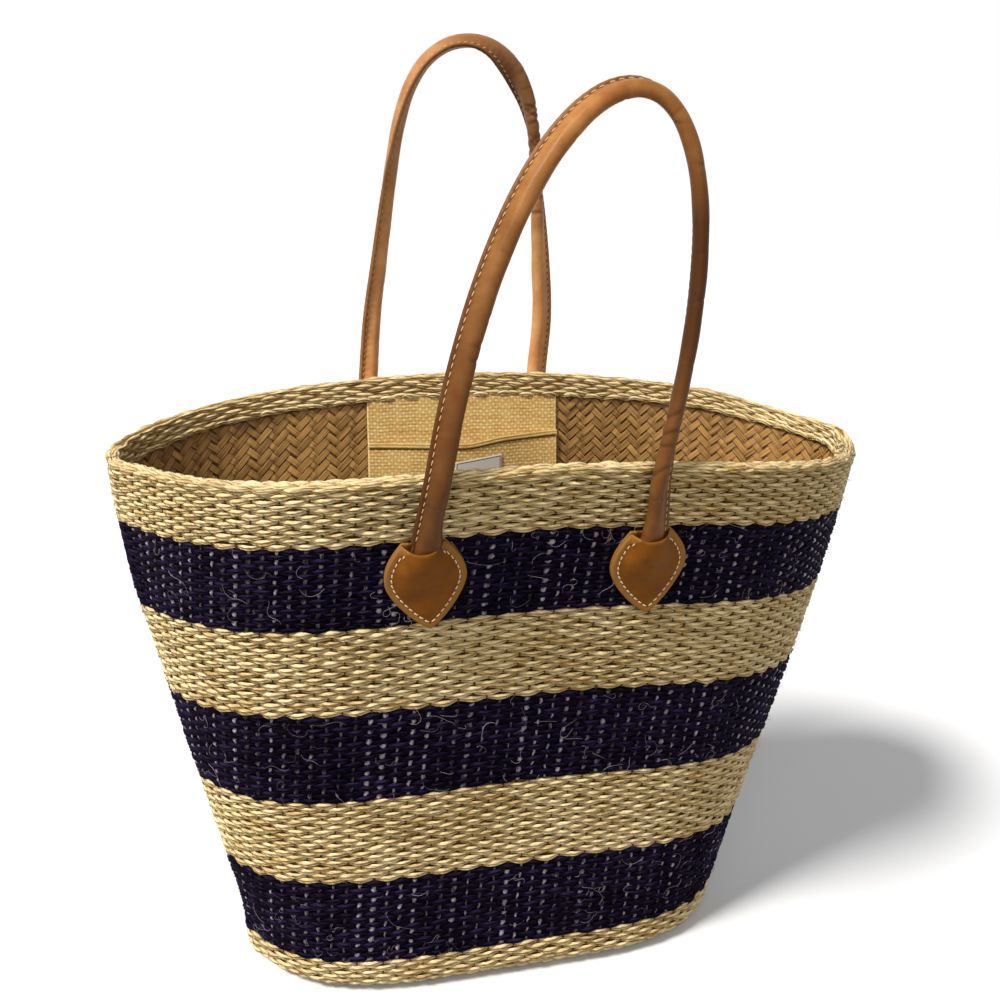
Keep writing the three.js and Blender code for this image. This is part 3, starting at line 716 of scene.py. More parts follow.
def yarns(
    ring, base, face, up, numbers, pitch, fat, thin, tone, out, sink, stretch=1.0, hang=0.0,
    slant=0.24,
):
    """Weft yarns along rings, laid on base lines that face and rise in the given directions. They
    sink under every other warp and wander a little. Fat and thin are half heights over and under
    a warp, in row pitches. Stretch and hang change their floats' length and sag, and slant is how
    far the floats may tip."""
    number = numbers[:, None] + (~ring.on_front)
    warp = ring.warp * stretch
    over = weave(warp, number, ring.tip)
    lift = per_float(warp, number, *FLOAT_LIFT)
    size = per_float(warp, number, *FLOAT_SIZE)
    tilt = per_float(warp, number, -slant, slant)
    shift = per_float(warp, number, -FLOAT_SHIFT, FLOAT_SHIFT)
    shade = per_float(warp, number, *FLOAT_SHADE) * over + ring.wander(*SHADE_WAVES)
    local = (warp + number) / 2
    local = 2 * (local - np.rint(local))
    depth = out - YARN_DEPTH - (1 - over) * sink + lift * over
    drift = ring.wander(*DRIFT_WAVES)
    rise = (drift + (tilt * local + shift) * over) * pitch - hang * over
    centre = base + face * depth[..., None] + up * rise[..., None]
    thick = mix(*YARN_HALF, over)
    tall = pitch * mix(thin, fat, over) * mix(1, size, over)
    slip = FLOAT_TURN * local + per_float(warp, number, -TURN_RANGE, TURN_RANGE)
    lean = STRAND_UP + STRAND_SLIP * slip[..., None]
    points = centre[..., None, :] + face[..., None, :] * (thick[..., None] * STRAND_OUT)[..., None]
    points = points + up[..., None, :] * (tall[..., None] * lean)[..., None]
    along = ring.along + rng.uniform(0, 1, (len(number), 1))
    # Painted shade and painted light: the tone drops in the dips, in the valley between strands and
    # on the lower side, and rises on the upper side and the crests
    fibre = fibre_of(along, YARN_ANGLES, YARN_GIRTH, tone + shade - DIP_SHADE * (1 - over))
    fibre[..., 1] += along[..., None] * FIBRE_WIND
    upward = np.sign(up[..., 2])[..., None]
    shading = LOWER_SHADE * np.sin(YARN_ANGLES) * upward + STRAND_SHADE
    fibre[..., 2] = np.clip(fibre[..., 2] + shading, 0, 1)
    return tubes(points, fibre, ring=True)


def band_yarns(rows, fat, thin, tone):
    """All weft yarns of one band of the cover, none of them below the ground."""
    heights = ROW_HEIGHTS[rows]
    ring = Ring(heights, int(np.mean(girth(heights)) / YARN_STEP))
    pitch = ROW_PITCHES[rows][:, None]
    lay = (ring, ring.point, ring.out, ring.up, rows, pitch)
    points, faces, fibre = yarns(*lay, fat, thin, tone, FLOAT_OUT, YARN_SINK)
    points[:, 2] = np.maximum(points[:, 2], GROUND_GAP)
    return points, faces, fibre


def web(high, low):
    """Thin closed ring behind the yarns, in deep shade."""
    ring = Ring(np.linspace(high, low, 3), WEB_STATIONS)
    outer, inner = (ring.point - ring.out * depth for depth in WEB_DEPTHS)
    loop = np.concatenate([outer, inner[::-1]]).transpose(1, 0, 2)[None]
    return tubes(loop, SHADED, ring=True)


def warp_part(side, first, last):
    """Warp yarns of one wall over a run of rows: each rises between the floats where the weft
    sinks. They are grey with lint between navy yarns, and buried in shade between natural ones."""
    numbers = np.arange(first, last + 0.01, 0.5)
    every_row = np.arange(len(ROW_HEIGHTS))
    heights = np.interp(numbers, every_row, ROW_HEIGHTS)
    navy = np.interp(numbers, every_row, np.char.startswith(ROW_BANDS, "navy").astype(float))
    pitch = warp_pitch(heights)
    half = walls[side].half_length(heights)
    reach = int(half.max() / pitch.min())
    angles = np.radians([-90, 0, 90])
    parts = []
    for k in range(-reach, reach + 1):
        width = rng.uniform(*WARP_HALF_WIDTH)
        tone = rng.uniform(0, 1) ** WARP_SHADE_POWER
        inside = np.abs(k * pitch) < half - WARP_MARGIN
        if inside.sum() < 4:
            continue
        n, grey, count = numbers[inside], navy[inside], inside.sum()
        share = k * pitch[inside] / half[inside]
        point, out, up = walls[side].at(heights[inside], share)
        over = (1 - np.cos(np.pi * (k + n + (side == BACK)))) / 2
        across = unit(np.cross(up, out))
        depth = -WARP_DEPTH + over * mix(*WARP_RISE, grey) * rng.uniform(*WARP_RISES, count)
        centre = point + out * depth[:, None]
        centre += across * rng.uniform(*WARP_SHIFTS, count)[:, None]
        wide = width * mix(WARP_UNDER, 1, over) * rng.uniform(*WARP_WIDTHS, count)
        wide = wide * mix(WARP_NATURAL, 1.0, grey)
        points = section(centre, out, across, WARP_HALF_THICK, wide, angles)
        shade = np.clip(tone + rng.uniform(*WARP_SHADES, count), 0, 1)
        shade = np.where(grey < WARP_BURIED, -1, shade)
        fibre = fibre_of(heights[inside] + k, angles, WARP_GIRTH, shade)
        parts.append(tubes(points[None], fibre[None]))
    return parts


def woven_cover():
    first = 0
    for name, _, count in BANDS:
        rows = np.arange(first, first + count)
        material, slot, *body = WEFT_YARNS[name.split("_")[0]]
        edge = ROW_PITCHES[first] / 2
        shade = web(ROW_HEIGHTS[first] + edge, ROW_HEIGHTS[rows[-1]] - edge)
        parts = [band_yarns(rows, *body), shade]
        piece(name + "_weave", parts, material, "basket", [name])
        first += count
    for side, label in ((FRONT, "front"), (BACK, "back")):
        parts = warp_part(side, 1.5, len(ROW_HEIGHTS) - 1)
        piece(label + "_warp_yarns", parts, warp_straw, "basket")


woven_cover()


# Handles

# Tabs: where their mouths are, how far one tilts, and its outline round the mouth's middle
TAB_SPACING = 0.117
TAB_MIDDLE_X = -0.015
TAB_MOUTH_Z = 0.318
TAB_TILT = np.radians(8)
TAB_HORN = 0.010
TAB_HORN_RISE = 0.0062
TAB_MOUTH_BEND = 0.0045
TAB_HALF_WIDTH = 0.0204
TAB_WIDEST_DROP = 0.016
TAB_LENGTH = 0.048
TAB_LEATHER = 0.0015
TAB_RINGS = (
    *(1, 0.985, 0.965, 0.94, 0.915, 0.89, 0.865, 0.84),
    *(0.8, 0.7, 0.6, 0.5, 0.4, 0.3, 0.2, 0.1),
)
SEAT_GAP = 0.0003
TAB_SEAT = SEAT_GAP + TAB_LEATHER + SEAT_GAP

# A tab's dome over the handle's end: half widths and powers at the mouth and further down
DOME_HALF_WIDTHS = (0.0106, 0.0162)
DOME_POWERS = (2.5, 1.25)
DOME_RIDGE_POWER = 1.05
DOME_CHANGE = 0.014
DOME_RUN = 0.033
DOME_SLACK = 0.0009

# Rounding of a tab's edge on its face and lining, and the groove that its stitches pull in
FACE_BEVEL = 0.0007
LINING_BEVEL = 0.0002
BEVEL_RUN = 0.0011
GROOVE_DEPTH = 0.00028
GROOVE_WIDTH = 0.0006
BORDER_WIDTH = 0.008
STITCH_INSET = 0.0036
TAB_STITCHES = 15
STITCH_ENDS = (0.0016, 0.0012)

# Stitches: length, half thickness on tabs and seams, how flat they are, and how far they slant
STITCH_LENGTH = 0.0029
TAB_THREAD = 0.0004
SEAM_THREAD = 0.00028
STITCH_FLATTENING = 0.75
STITCH_SLANT = 0.1

# Handles: tube, core and fin, the flattened ends, and the run over which each changes
TUBE_RADIUS = 0.0043
TUBE_OUT = TAB_SEAT + TUBE_RADIUS
CORE_RADIUS = 0.0027
SKIN_THICK = 0.0014
STUB_HALF_WIDTH = 0.0056
STUB_RUN = 0.019
STUB_LEAST = 0.0006
END_HALF_WIDTH = 0.0076
END_HALF_DEPTH = 0.0039
END_RUN = 0.024
FIN_REACH = 0.0043
FIN_THICK = 0.0026
FIN_HIDDEN = 0.0035
FIN_RUN = 0.0035
MOUTH_CLEARANCE = 0.001
LEG_CONVERGENCE = 0.005
LEG_UPS = (MOUTH_CLEARANCE, 0.014, 0.027, 0.038)
LOOP_COUNT = 18
SPLIT_HEIGHT = 0.345
HANDLE_STEP = 0.0008
SPLINE_STEPS = 60
SKIN_ANGLES = 17
TURN_BLUR = 0.03

# The two edges of the leather leave the tube at FIN_ROOT degrees, slope down to the seam and run on
# as a flat fin: places along the slope and the flat, and how dark each of them is, darkest at the
# seam and the fin's edge, with painted shade in the hollow beside the seam and over the fin
FIN_ROOT = 58
SEAM_OUT = 0.0062
SEAM_HALF = 0.00115
SEAM_SHADE = np.array([0, 0.05, 0.3, 0.9, 0.45, 0.35, 0.5])
FIN_EDGE_SHADE = 0.75
SLOPE_PLACES = np.array([0.35, 0.68, 0.92])
SLOPE_HOLLOW = 0.00035 * np.array([0.3, 0.8, 1.0])
FLAT_PLACES = (0, 0.25, 0.8, 0.97)
STITCH_PITCH = 0.0041
STITCH_PULL = 0.0004

# Creases: how many light ones there are, size and reach round the tube of light and deep ones, how
# deep they get and how dark their painted shade gets. Then their lean, width and place, and the
# bulges and waves between
LIGHT_CREASES = 22
LIGHT_CREASE = (0.8, 0.9)
DEEP_CREASE = (1.8, 2.4)
CREASE_DEPTH = 0.0003
CREASE_LIMIT = 2.4
CREASE_SHADE = 0.35
CREASE_SHADE_LIMIT = 1.6
CREASE_LEAN = 0.0022
CREASE_WIDTHS = (0.0006, 0.0013)
CREASE_TURNS = (2.2, 4.1)
SKIN_BULGE = 0.00010
EDGE_WAVE = 0.00008

# Rise of the loop over the rim, its width, how that tapers and how square its shoulders are, its
# shift and skew sideways and its lean in degrees. Then, evenly spaced along the handle, the fin's
# turns in degrees and how dark wear and painted shade make the leather, and the deep folds: how
# many, from where to where
HANDLES = {
    "front": dict(
        side=FRONT,
        rise=0.172,
        width=0.107,
        taper=-0.16,
        shoulder=2,
        shift=0.0,
        skew=0.037,
        lean=8,
        turns=(5, 15, 30, 30, 28, 50, 84, 88, 84, 36, 8),
        folds=(4, 0.84, 0.93),
        wear_and_shade=(1.0, 1.0, 0.85, 0.6, 0.25, 0.45, 1.17, 1.15, 0.9, 0.85),
    ),
    "back": dict(
        side=BACK,
        rise=0.1974,
        width=0.114,
        taper=0.32,
        shoulder=9,
        shift=0.0015,
        skew=-0.0005,
        lean=5,
        turns=(-5, -22, -40, -57, -86, -105, -248, -305, -350, -360, -360),
        folds=(18, 0.6, 0.73),
        wear_and_shade=(0.0, 0.0, 0.1, 0.4, 0.45, 0.9, 0.85, 0.15, 0.0, 0.0),
    ),
}


def surface_point(x, z, side):
    """Point of a wall at x and a height, its share of the height found by repeated correction."""
    t = z / BAG_HEIGHT
    for _ in range(4):
        t = (z + BAG_HEIGHT * t - wall_height(t, x)) / BAG_HEIGHT
    point = wall_point(x, t, 0, side)
    point[..., 2] = z
    return point


def surface_normal(x, z, side):
    step = 0.0005
    across = surface_point(x + step, z, side) - surface_point(x - step, z, side)
    up = surface_point(x, z + step, side) - surface_point(x, z - step, side)
    return unit(np.cross(across, up)) * -side


def tab_middle(sign):
    return TAB_MIDDLE_X + sign * TAB_SPACING / 2


def on_tab(x, side, across, up, out):
    """Point so far across, up and out from the middle of a tab's mouth, turned by its tilt."""
    across, up, out = np.broadcast_arrays(across, up, out)
    normal = surface_normal(x, TAB_MOUTH_Z, side)
    slope = np.hypot(normal[0], normal[1])
    px = x + across * np.cos(TAB_TILT) - up * np.sin(TAB_TILT)
    pz = TAB_MOUTH_Z + (up * np.cos(TAB_TILT) + across * np.sin(TAB_TILT)) * slope
    return surface_point(px, pz, side) + surface_normal(px, pz, side) * out[..., None]


def stub_height(up):
    """Room under the dome for the flattened handle end: full at the mouth, none at its foot."""
    return 2 * (TUBE_RADIUS - SEAT_GAP) * (1 - smooth(-up / DOME_RUN))


def dome_rise(across, up):
    """Height of a tab over the handle's end: close round it at the mouth and a broad ridge
    further down."""
    down = smooth(-up / DOME_CHANGE)
    share = np.minimum(1, np.abs(across) / mix(*DOME_HALF_WIDTHS, down))
    ridge = (1 - share ** mix(*DOME_POWERS, down)) ** DOME_RIDGE_POWER
    return (stub_height(up) + DOME_SLACK) * ridge


def spline(points, per_span):
    """Centripetal Catmull-Rom spline through points, with the end spans mirrored."""
    first, last = 2 * points[:1] - points[1:2], 2 * points[-1:] - points[-2:-1]
    points = np.concatenate([first, points, last])
    gaps = np.sqrt(np.linalg.norm(np.diff(points, axis=0), axis=1))[:, None, None]
    p0, p1, p2, p3 = (points[i : len(points) - 3 + i, None] for i in range(4))
    d0, d1, d2 = (gaps[i : len(gaps) - 2 + i] for i in range(3))
    enter = ((p1 - p0) / d0 - (p2 - p0) / (d0 + d1) + (p2 - p1) / d1) * d1
    leave = ((p2 - p1) / d1 - (p3 - p1) / (d1 + d2) + (p3 - p2) / d2) * d1
    s = np.linspace(0, 1, per_span, endpoint=False)[None, :, None]
    curve = (
        p1 * (2 * s**3 - 3 * s**2 + 1)
        + enter * (s**3 - 2 * s**2 + s)
        + p2 * (3 * s**2 - 2 * s**3)
        + leave * (s**3 - s**2)
    )
    return np.concatenate([curve.reshape(-1, 3), points[-2:-1]])


def resampled(points, step):
    """Points evenly spaced along a line, with their distances along it."""
    arc = np.concatenate([[0], np.cumsum(np.linalg.norm(np.diff(points, axis=0), axis=1))])
    places = np.linspace(0, arc[-1], int(arc[-1] / step) + 1)
    return np.stack([np.interp(places, arc, points[:, k]) for k in range(3)], -1), places


class Handle:
    """Centre line of a handle from one flattened end over the loop to the other, with the direction
    of its fin, its half sizes along and across that, and how dark wear and painted shade make it.
    Distances along it start at the left mouth."""

    def __init__(self, side, turns, folds, wear_and_shade, **loop):
        self.side = side
        self.folds = folds
        line, places = resampled(self.course(**loop), HANDLE_STEP)
        self.length = places[-1]
        ups = np.arange(-STUB_RUN, MOUTH_CLEARANCE, HANDLE_STEP)
        centre_out = TAB_SEAT + np.maximum(stub_height(ups) / 2, STUB_LEAST)
        left, right = (on_tab(tab_middle(sign), side, 0.0, ups, centre_out) for sign in (-1, 1))
        self.line = np.concatenate([left, line, right[::-1]])
        self.legs = self.line[:, 2] < SPLIT_HEIGHT
        before = ups - MOUTH_CLEARANCE
        self.along = np.concatenate([before, places, self.length - before[::-1]])
        at = self.along / self.length
        self.wear_and_shade = np.interp(at, np.linspace(0, 1, len(wear_and_shade)), wear_and_shade)
        self.turn_fin(at, turns)
        from_end = np.minimum(self.along, self.length - self.along)
        flat = smooth(-from_end / STUB_RUN)
        broad = 1 - smooth(from_end / END_RUN)
        self.wide = mix(mix(TUBE_RADIUS, END_HALF_WIDTH, broad), STUB_HALF_WIDTH, flat)
        room = stub_height(from_end + MOUTH_CLEARANCE) / 2 - 0.0001
        pressed = mix(TUBE_RADIUS, END_HALF_DEPTH, broad)
        self.deep = np.minimum(pressed, np.maximum(room, STUB_LEAST))
        self.fin_share = smooth((from_end - FIN_HIDDEN) / FIN_RUN)

    def course(self, rise, width, taper, shoulder, shift, skew, lean):
        """Fine line up one leg, round the loop and down the other leg."""
        rim_z = wall_height(1.0, TAB_MIDDLE_X)
        rim_y = self.side * (wall_depth(1.0, self.side) + TUBE_OUT)
        ups = np.array(LEG_UPS)
        inward = LEG_CONVERGENCE * ups / (rim_z - TAB_MOUTH_Z)
        legs = []
        for sign in (-1, 1):
            leg = on_tab(tab_middle(sign), self.side, 0.0, ups, TUBE_OUT)
            leg[:, 0] = TAB_MIDDLE_X + sign * (TAB_SPACING / 2 - inward)
            legs.append(leg)
        angle = np.pi * np.arange(1, LOOP_COUNT) / LOOP_COUNT
        h = np.sin(angle)
        half = width / 2 * (1 - taper * h) * np.sqrt(1 - h**shoulder)
        x = TAB_MIDDLE_X + shift + skew * h - half * np.sign(np.round(np.cos(angle), 12))
        y = rim_y - self.side * rise * h * np.sin(np.radians(lean))
        z = rim_z + rise * h * np.cos(np.radians(lean))
        loop = np.stack([x, y, z], -1)
        return spline(np.concatenate([legs[0], loop, legs[1][::-1]]), SPLINE_STEPS)

    def turn_fin(self, at, turns):
        """Set the fin's direction from its turns, evened out over a share of the length."""
        self.tangent = unit(np.gradient(self.line, axis=0))
        window = int(TURN_BLUR * len(at))
        count = 2 * window + 1
        steps = np.pad(np.interp(at, np.linspace(0, 1, len(turns)), turns), window, "edge")
        angle = -np.radians(np.convolve(steps, np.full(count, 1 / count), "valid"))[:, None]
        plain = unit(np.cross(self.tangent, np.array([0.0, 1.0, 0.0])))
        self.fin = plain * np.cos(angle) + np.cross(self.tangent, plain) * np.sin(angle)
        self.flank = np.cross(self.tangent, self.fin)

    def stretches(self):
        """Stations of the left leg, the loop and the right leg, which share the rings between."""
        low = int(np.argmin(self.legs))
        high = len(self.legs) - 1 - int(np.argmin(self.legs[::-1]))
        return (slice(0, low + 1), slice(low, high + 1), slice(high, len(self.legs)))

    def placed(self, stretch, along_fin, across_fin):
        """Points of a section that runs so far along the fin and across it at each station."""
        points = self.line[stretch][:, None] + self.fin[stretch][:, None] * along_fin[..., None]
        return points + self.flank[stretch][:, None] * across_fin[..., None]


def crease_map(handle, along, angles):
    """Depth of all creases over a stretch of skin: light ones anywhere, deep ones in the folds."""
    creases = [(place, *LIGHT_CREASE) for place in rng.uniform(0, handle.length, LIGHT_CREASES)]
    count, start, end = handle.folds
    creases += [(place, *DEEP_CREASE) for place in rng.uniform(start, end, count) * handle.length]
    crease = np.zeros((len(along), len(angles)))
    for place, size, reach in creases:
        lean = rng.uniform(-CREASE_LEAN, CREASE_LEAN) * size
        width = rng.uniform(*CREASE_WIDTHS)
        turn = rng.uniform(*CREASE_TURNS)
        offset = along - place - lean * (angles - turn)
        crease += size * np.exp(-((offset / width) ** 2) - ((angles - turn) / reach) ** 2)
    return crease


def skin_part(handle, stretch):
    """Leather skin with the section of a drop: a round tube that slopes into a flat fin of two
    plies. Each stitch draws the seam in, and creases cross the tube."""
    along = handle.along[stretch][:, None]
    share = handle.fin_share[stretch][:, None]
    wide = handle.wide[stretch][:, None]
    deep = handle.deep[stretch][:, None]
    root = np.radians(FIN_ROOT)
    angles = np.linspace(root, 2 * np.pi - root, SKIN_ANGLES)
    crease = crease_map(handle, along, angles)
    bulge = SKIN_BULGE * np.sin(along * 210 + 1.3) * np.sin(angles * 2 + 0.6)
    shrink = 1 - (CREASE_DEPTH * np.minimum(crease, CREASE_LIMIT) - bulge) / TUBE_RADIUS
    fin_edge = np.maximum(TUBE_RADIUS + FIN_REACH * share, wide)
    seam = np.minimum(SEAM_OUT, fin_edge - 0.0004)
    phase = 2 * np.pi * along / STITCH_PITCH
    pull = 0.5 + 0.5 * np.cos(phase)
    wave = EDGE_WAVE * np.sin(phase) * share
    half = FIN_THICK / 2
    slope_f = mix(wide * np.cos(root), seam, SLOPE_PLACES)
    slope_b = mix(TUBE_RADIUS * np.sin(root), SEAM_HALF, SLOPE_PLACES**0.85)
    slope_b = slope_b - SLOPE_HOLLOW * pull * share
    flat_f = [mix(seam, fin_edge, place) for place in FLAT_PLACES]
    flat_b = [SEAM_HALF - STITCH_PULL * pull, half + 0 * pull]
    flat_b += [half * 0.95 + wave, half * 0.6 + wave]
    upper_f = np.concatenate([slope_f, *flat_f], 1)
    upper_b = np.concatenate([slope_b, *flat_b], 1)
    round_f = np.sqrt(np.maximum(0, 1 - (upper_b / TUBE_RADIUS) ** 2)) * wide
    upper_f = np.where(share > 0.03, upper_f, np.minimum(upper_f, round_f))
    upper_b = upper_b * (deep / TUBE_RADIUS)
    f = np.concatenate([wide * np.cos(angles) * shrink, upper_f, fin_edge, upper_f[:, ::-1]], 1)
    b = np.concatenate([deep * np.sin(angles) * shrink, -upper_b, wave, upper_b[:, ::-1]], 1)
    plain = np.zeros(len(angles))
    # Painted shade beside the seam, over the fin and in the creases; the seam and the fin's edge
    # dark
    shade = np.concatenate([plain, SEAM_SHADE, [FIN_EDGE_SHADE], SEAM_SHADE[::-1]]) * share
    shade[:, : len(angles)] += CREASE_SHADE * np.minimum(crease, CREASE_SHADE_LIMIT)
    fibre = np.stack(np.broadcast_arrays(handle.wear_and_shade[stretch][:, None], along, shade), -1)
    return tubes(handle.placed(stretch, f, b)[None], fibre[None])


def core_part(handle, stretch):
    """Cord inside the skin, on every second station, as far as there is room for it."""
    angles = turns_of(8)
    size = np.minimum(handle.deep[stretch] - SKIN_THICK, CORE_RADIUS)[:, None]
    keep = size[:, 0] > 0.0012
    points = handle.placed(stretch, np.cos(angles) * size, np.sin(angles) * size)
    return tubes(points[keep][::2][None], np.array([0.0, 0.0, 0.5]))


def stitch_part(middles, direction, out, radius, sign):
    """Short stitches: capsules with flattened sections that dip at both ends. All are given by
    their middles, the seam's direction and the outward direction there, and slant by the sign."""
    ends = np.array([-1.0, -0.8, -0.35, 0.35, 0.8, 1.0])
    size = np.array([0.35, 0.8, 1.0, 1.0, 0.8, 0.35])
    dip = np.array([-1.1, -0.45, 0.0, 0.0, -0.45, -1.1])
    side = unit(np.cross(direction, out))
    run = unit(direction + side * (STITCH_SLANT * sign))
    along = ends * STITCH_LENGTH / 2
    line = middles[:, None] + run[:, None] * along[None, :, None]
    line = line + out[:, None] * (dip * radius)[None, :, None]
    angles = turns_of(6)
    thick = radius * size
    points = section(line, out[:, None], side[:, None], thick * STITCH_FLATTENING, thick, angles)
    tone = rng.uniform(0.3, 0.9, (len(middles), 1))
    return tubes(points, fibre_of(along, angles, 0.002, tone))


def seam_stitches(handle, stretch):
    """Stitches on both faces of the fin, on the stations nearest to every whole pitch."""
    along = handle.along[stretch]
    lead = FIN_HIDDEN + FIN_RUN
    places = np.arange(lead, handle.length - lead, STITCH_PITCH) + STITCH_PITCH / 2
    places = places[(places >= along[0]) & (places < along[-1])]
    index = np.clip(np.searchsorted(along, places), 0, len(along) - 1)
    tables = (handle.line, handle.fin, handle.flank, handle.tangent)
    line, fin, flank, tangent = (table[stretch][index] for table in tables)
    seams = []
    for sign in (-1, 1):
        middles = line + fin * SEAM_OUT + flank * sign * SEAM_HALF
        seams.append(stitch_part(middles, tangent, flank * sign, SEAM_THREAD, sign))
    return seams


def bezier(points, count):
    """Bezier curve of any degree, by its control points."""
    s = np.linspace(0, 1, count)[:, None]
    last = len(points) - 1
    return sum(
        comb(last, k) * np.array(point) * s**k * (1 - s) ** (last - k)
        for k, point in enumerate(points)
    )


def tab_side(sign):
    """Half of a tab's outline from horn to tip: two curves that meet at the widest place."""
    wide = sign * TAB_HALF_WIDTH
    horn = (sign * TAB_HORN, TAB_HORN_RISE)
    widest = (wide, -TAB_WIDEST_DROP)
    upper = bezier((horn, (wide, -TAB_WIDEST_DROP / 3), widest), 22)
    middle, low = (wide, -TAB_LENGTH * 0.55), (wide * 0.35, -TAB_LENGTH * 0.92)
    return np.concatenate([upper[:-1], bezier((widest, middle, low, (0, -TAB_LENGTH)), 40)])


def tab_outline():
    right, left = tab_side(1), tab_side(-1)
    mouth = bezier((left[0], (0, TAB_MOUTH_BEND), right[0]), 30)
    return np.concatenate([right, left[1:-1][::-1], mouth[:-1]])


def edge_distance(points, outline):
    return np.linalg.norm(points[:, None] - outline[None], axis=-1).min(1)


def tab_ply(x, side, domed):
    """Leather ply on rings that shrink to the tab's middle: the domed face, its edge rounded and
    the leather pressed in along the seam, or the flat lining."""
    outline = tab_outline()
    middle = np.array([0, -TAB_WIDEST_DROP])
    flat = np.concatenate([mix(middle, outline, s) for s in TAB_RINGS] + [middle[None]])
    seam = edge_distance(flat, np.concatenate([tab_side(1), tab_side(-1)]))
    edge = np.maximum(0, 1 - edge_distance(flat, outline) / BEVEL_RUN)
    rounding = (FACE_BEVEL if domed else LINING_BEVEL) * edge**2
    groove = GROOVE_DEPTH * np.exp(-(((seam - STITCH_INSET) / GROOVE_WIDTH) ** 2)) * domed
    seat = TAB_SEAT + dome_rise(*flat.T) if domed else SEAT_GAP
    top = on_tab(x, side, *flat.T, seat + TAB_LEATHER - rounding - groove)
    bottom = on_tab(x, side, *flat.T, seat)
    n, layer, rings = len(outline), len(flat), len(TAB_RINGS)
    here = np.arange(n)
    beside = (here + 1) % n
    faces = []
    for offset, turned in ((0, 1), (layer, -1)):
        grid = lattice(1, rings, n) + offset
        last = (rings - 1) * n + offset
        hub = np.stack([last + here, last + beside, np.full(n, offset + layer - 1)], -1)
        faces += [grid[:, ::-turned], hub[:, ::turned]]
    faces.append(np.stack([here, beside, layer + beside, layer + here], -1)[:, ::-1])
    fibre = np.stack([*flat.T, np.clip(seam / BORDER_WIDTH, 0, 1)], -1)
    return np.concatenate([top, bottom]), faces, np.concatenate([fibre, fibre])


def tab_stitches(x, side):
    """Stitches down both sides of a tab, from its horns to its tip, none across the mouth."""
    step = 0.001
    parts = []
    for sign in (-1, 1):
        curve = tab_side(sign)
        fine, places = resampled(np.column_stack([curve, np.zeros(len(curve))]), 0.0002)
        fine = fine[:, :2]
        run = unit(np.gradient(fine, axis=0))
        inner = fine + np.stack([run[:, 1], -run[:, 0]], -1) * sign * STITCH_INSET
        keep = (inner[:, 0] * sign > 0.0008) & (places > 0.002)
        inner, run, places = inner[keep], run[keep], places[keep]
        at = np.linspace(places[0] + STITCH_ENDS[0], places[-1] - STITCH_ENDS[1], TAB_STITCHES)
        index = np.clip(np.searchsorted(places, at), 0, len(places) - 1)
        middle, ahead = inner[index], inner[index] + run[index] * step
        face = TAB_SEAT + dome_rise(*middle.T) + TAB_LEATHER - 0.0001
        here = on_tab(x, side, *middle.T, face)
        direction = unit(on_tab(x, side, *ahead.T, face) - here)
        out = unit(on_tab(x, side, *middle.T, face + step) - here)
        parts.append(stitch_part(here, direction, out, TAB_THREAD, sign))
    return parts


def thread_material(name, colour):
    made, tree, shader = new_material(name)
    coat(tree, shader, srgb(*colour), 0.55)
    return made


def leather_material(name, colours, roughness, edge, edge_colour, wear_and_shade_colour=None, specular=0.14):
    """Leather in a deep, a dark and a light colour, mottled under fine grain. The third fibre value
    colours the seam, with painted shade over the fin and in the creases, or the border, from one
    value of edge to the other, and the first one the stretches darkened by wear and painted shade."""
    deep, dark, light = (srgb(*colour) for colour in colours)
    made, tree, shader = new_material(name)
    grain = add(tree, "ShaderNodeGroup", {"Scale": GRAIN_SCALE}, node_tree=GRAIN).outputs
    values = fibre_values(tree)
    colour = mix_colour(tree, grain["Mottle"], dark, light)
    patches = add(tree, "ShaderNodeGroup", LEATHER_PATCHES, node_tree=PATCHES)
    faint = math_node(tree, "MULTIPLY", patches.outputs["Patch"], FAINT_SHARE)
    colour = mix_colour(tree, faint, colour, deep)
    # Wear and painted shade darken the leather by the first fibre value
    if wear_and_shade_colour:
        wear_and_shade = math_node(tree, "MULTIPLY", values[0], WEAR_AND_SHADE_SHARE)
        colour = mix_colour(tree, wear_and_shade, colour, srgb(*wear_and_shade_colour))
    border = spread(tree, values[2], *edge)
    colour = mix_colour(tree, border, colour, srgb(*edge_colour))
    low, high = (roughness + change for change in ROUGHNESS_RANGE)
    uneven = spread(tree, grain["Mottle"], 0.0, 1.0, low, high)
    coat(tree, shader, colour, uneven, specular)
    bump(tree, shader, grain["Height"], *GRAIN_RELIEF)
    return made


handle_leathers = {
    "front": leather_material(
        "tan leather",
        ((134, 76, 30), (176, 110, 52), (216, 152, 84)),
        roughness=0.4,
        edge=(0.0, 1.0),
        edge_colour=(62, 30, 10),
        wear_and_shade_colour=(74, 40, 10),
    ),
    # Painted light: the back handle takes a lighter copy of the tan leather
    "back": leather_material(
        "tan leather painted lighter",
        ((172, 110, 62), (214, 144, 84), (246, 184, 122)),
        roughness=0.4,
        edge=(0.0, 1.0),
        edge_colour=(82, 44, 20),
        wear_and_shade_colour=(74, 40, 14),
    ),
}
tab_leather = leather_material(
    "brown leather",
    ((88, 48, 6), (116, 66, 12), (146, 88, 22)),
    roughness=0.6,
    edge=(0.42, 0.34),
    edge_colour=(154, 106, 48),
    specular=0.1,
)
thread = thread_material("waxed thread", (236, 206, 158))
seam_thread = thread_material("tan thread", (226, 176, 112))
cord = yarn_material(
    "cotton cord",
    ((90, 84, 70), (180, 172, 150), (225, 218, 200)),
    roughness=0.8,
    across=900.0,
    along=200.0,
    relief=0.0002,
)


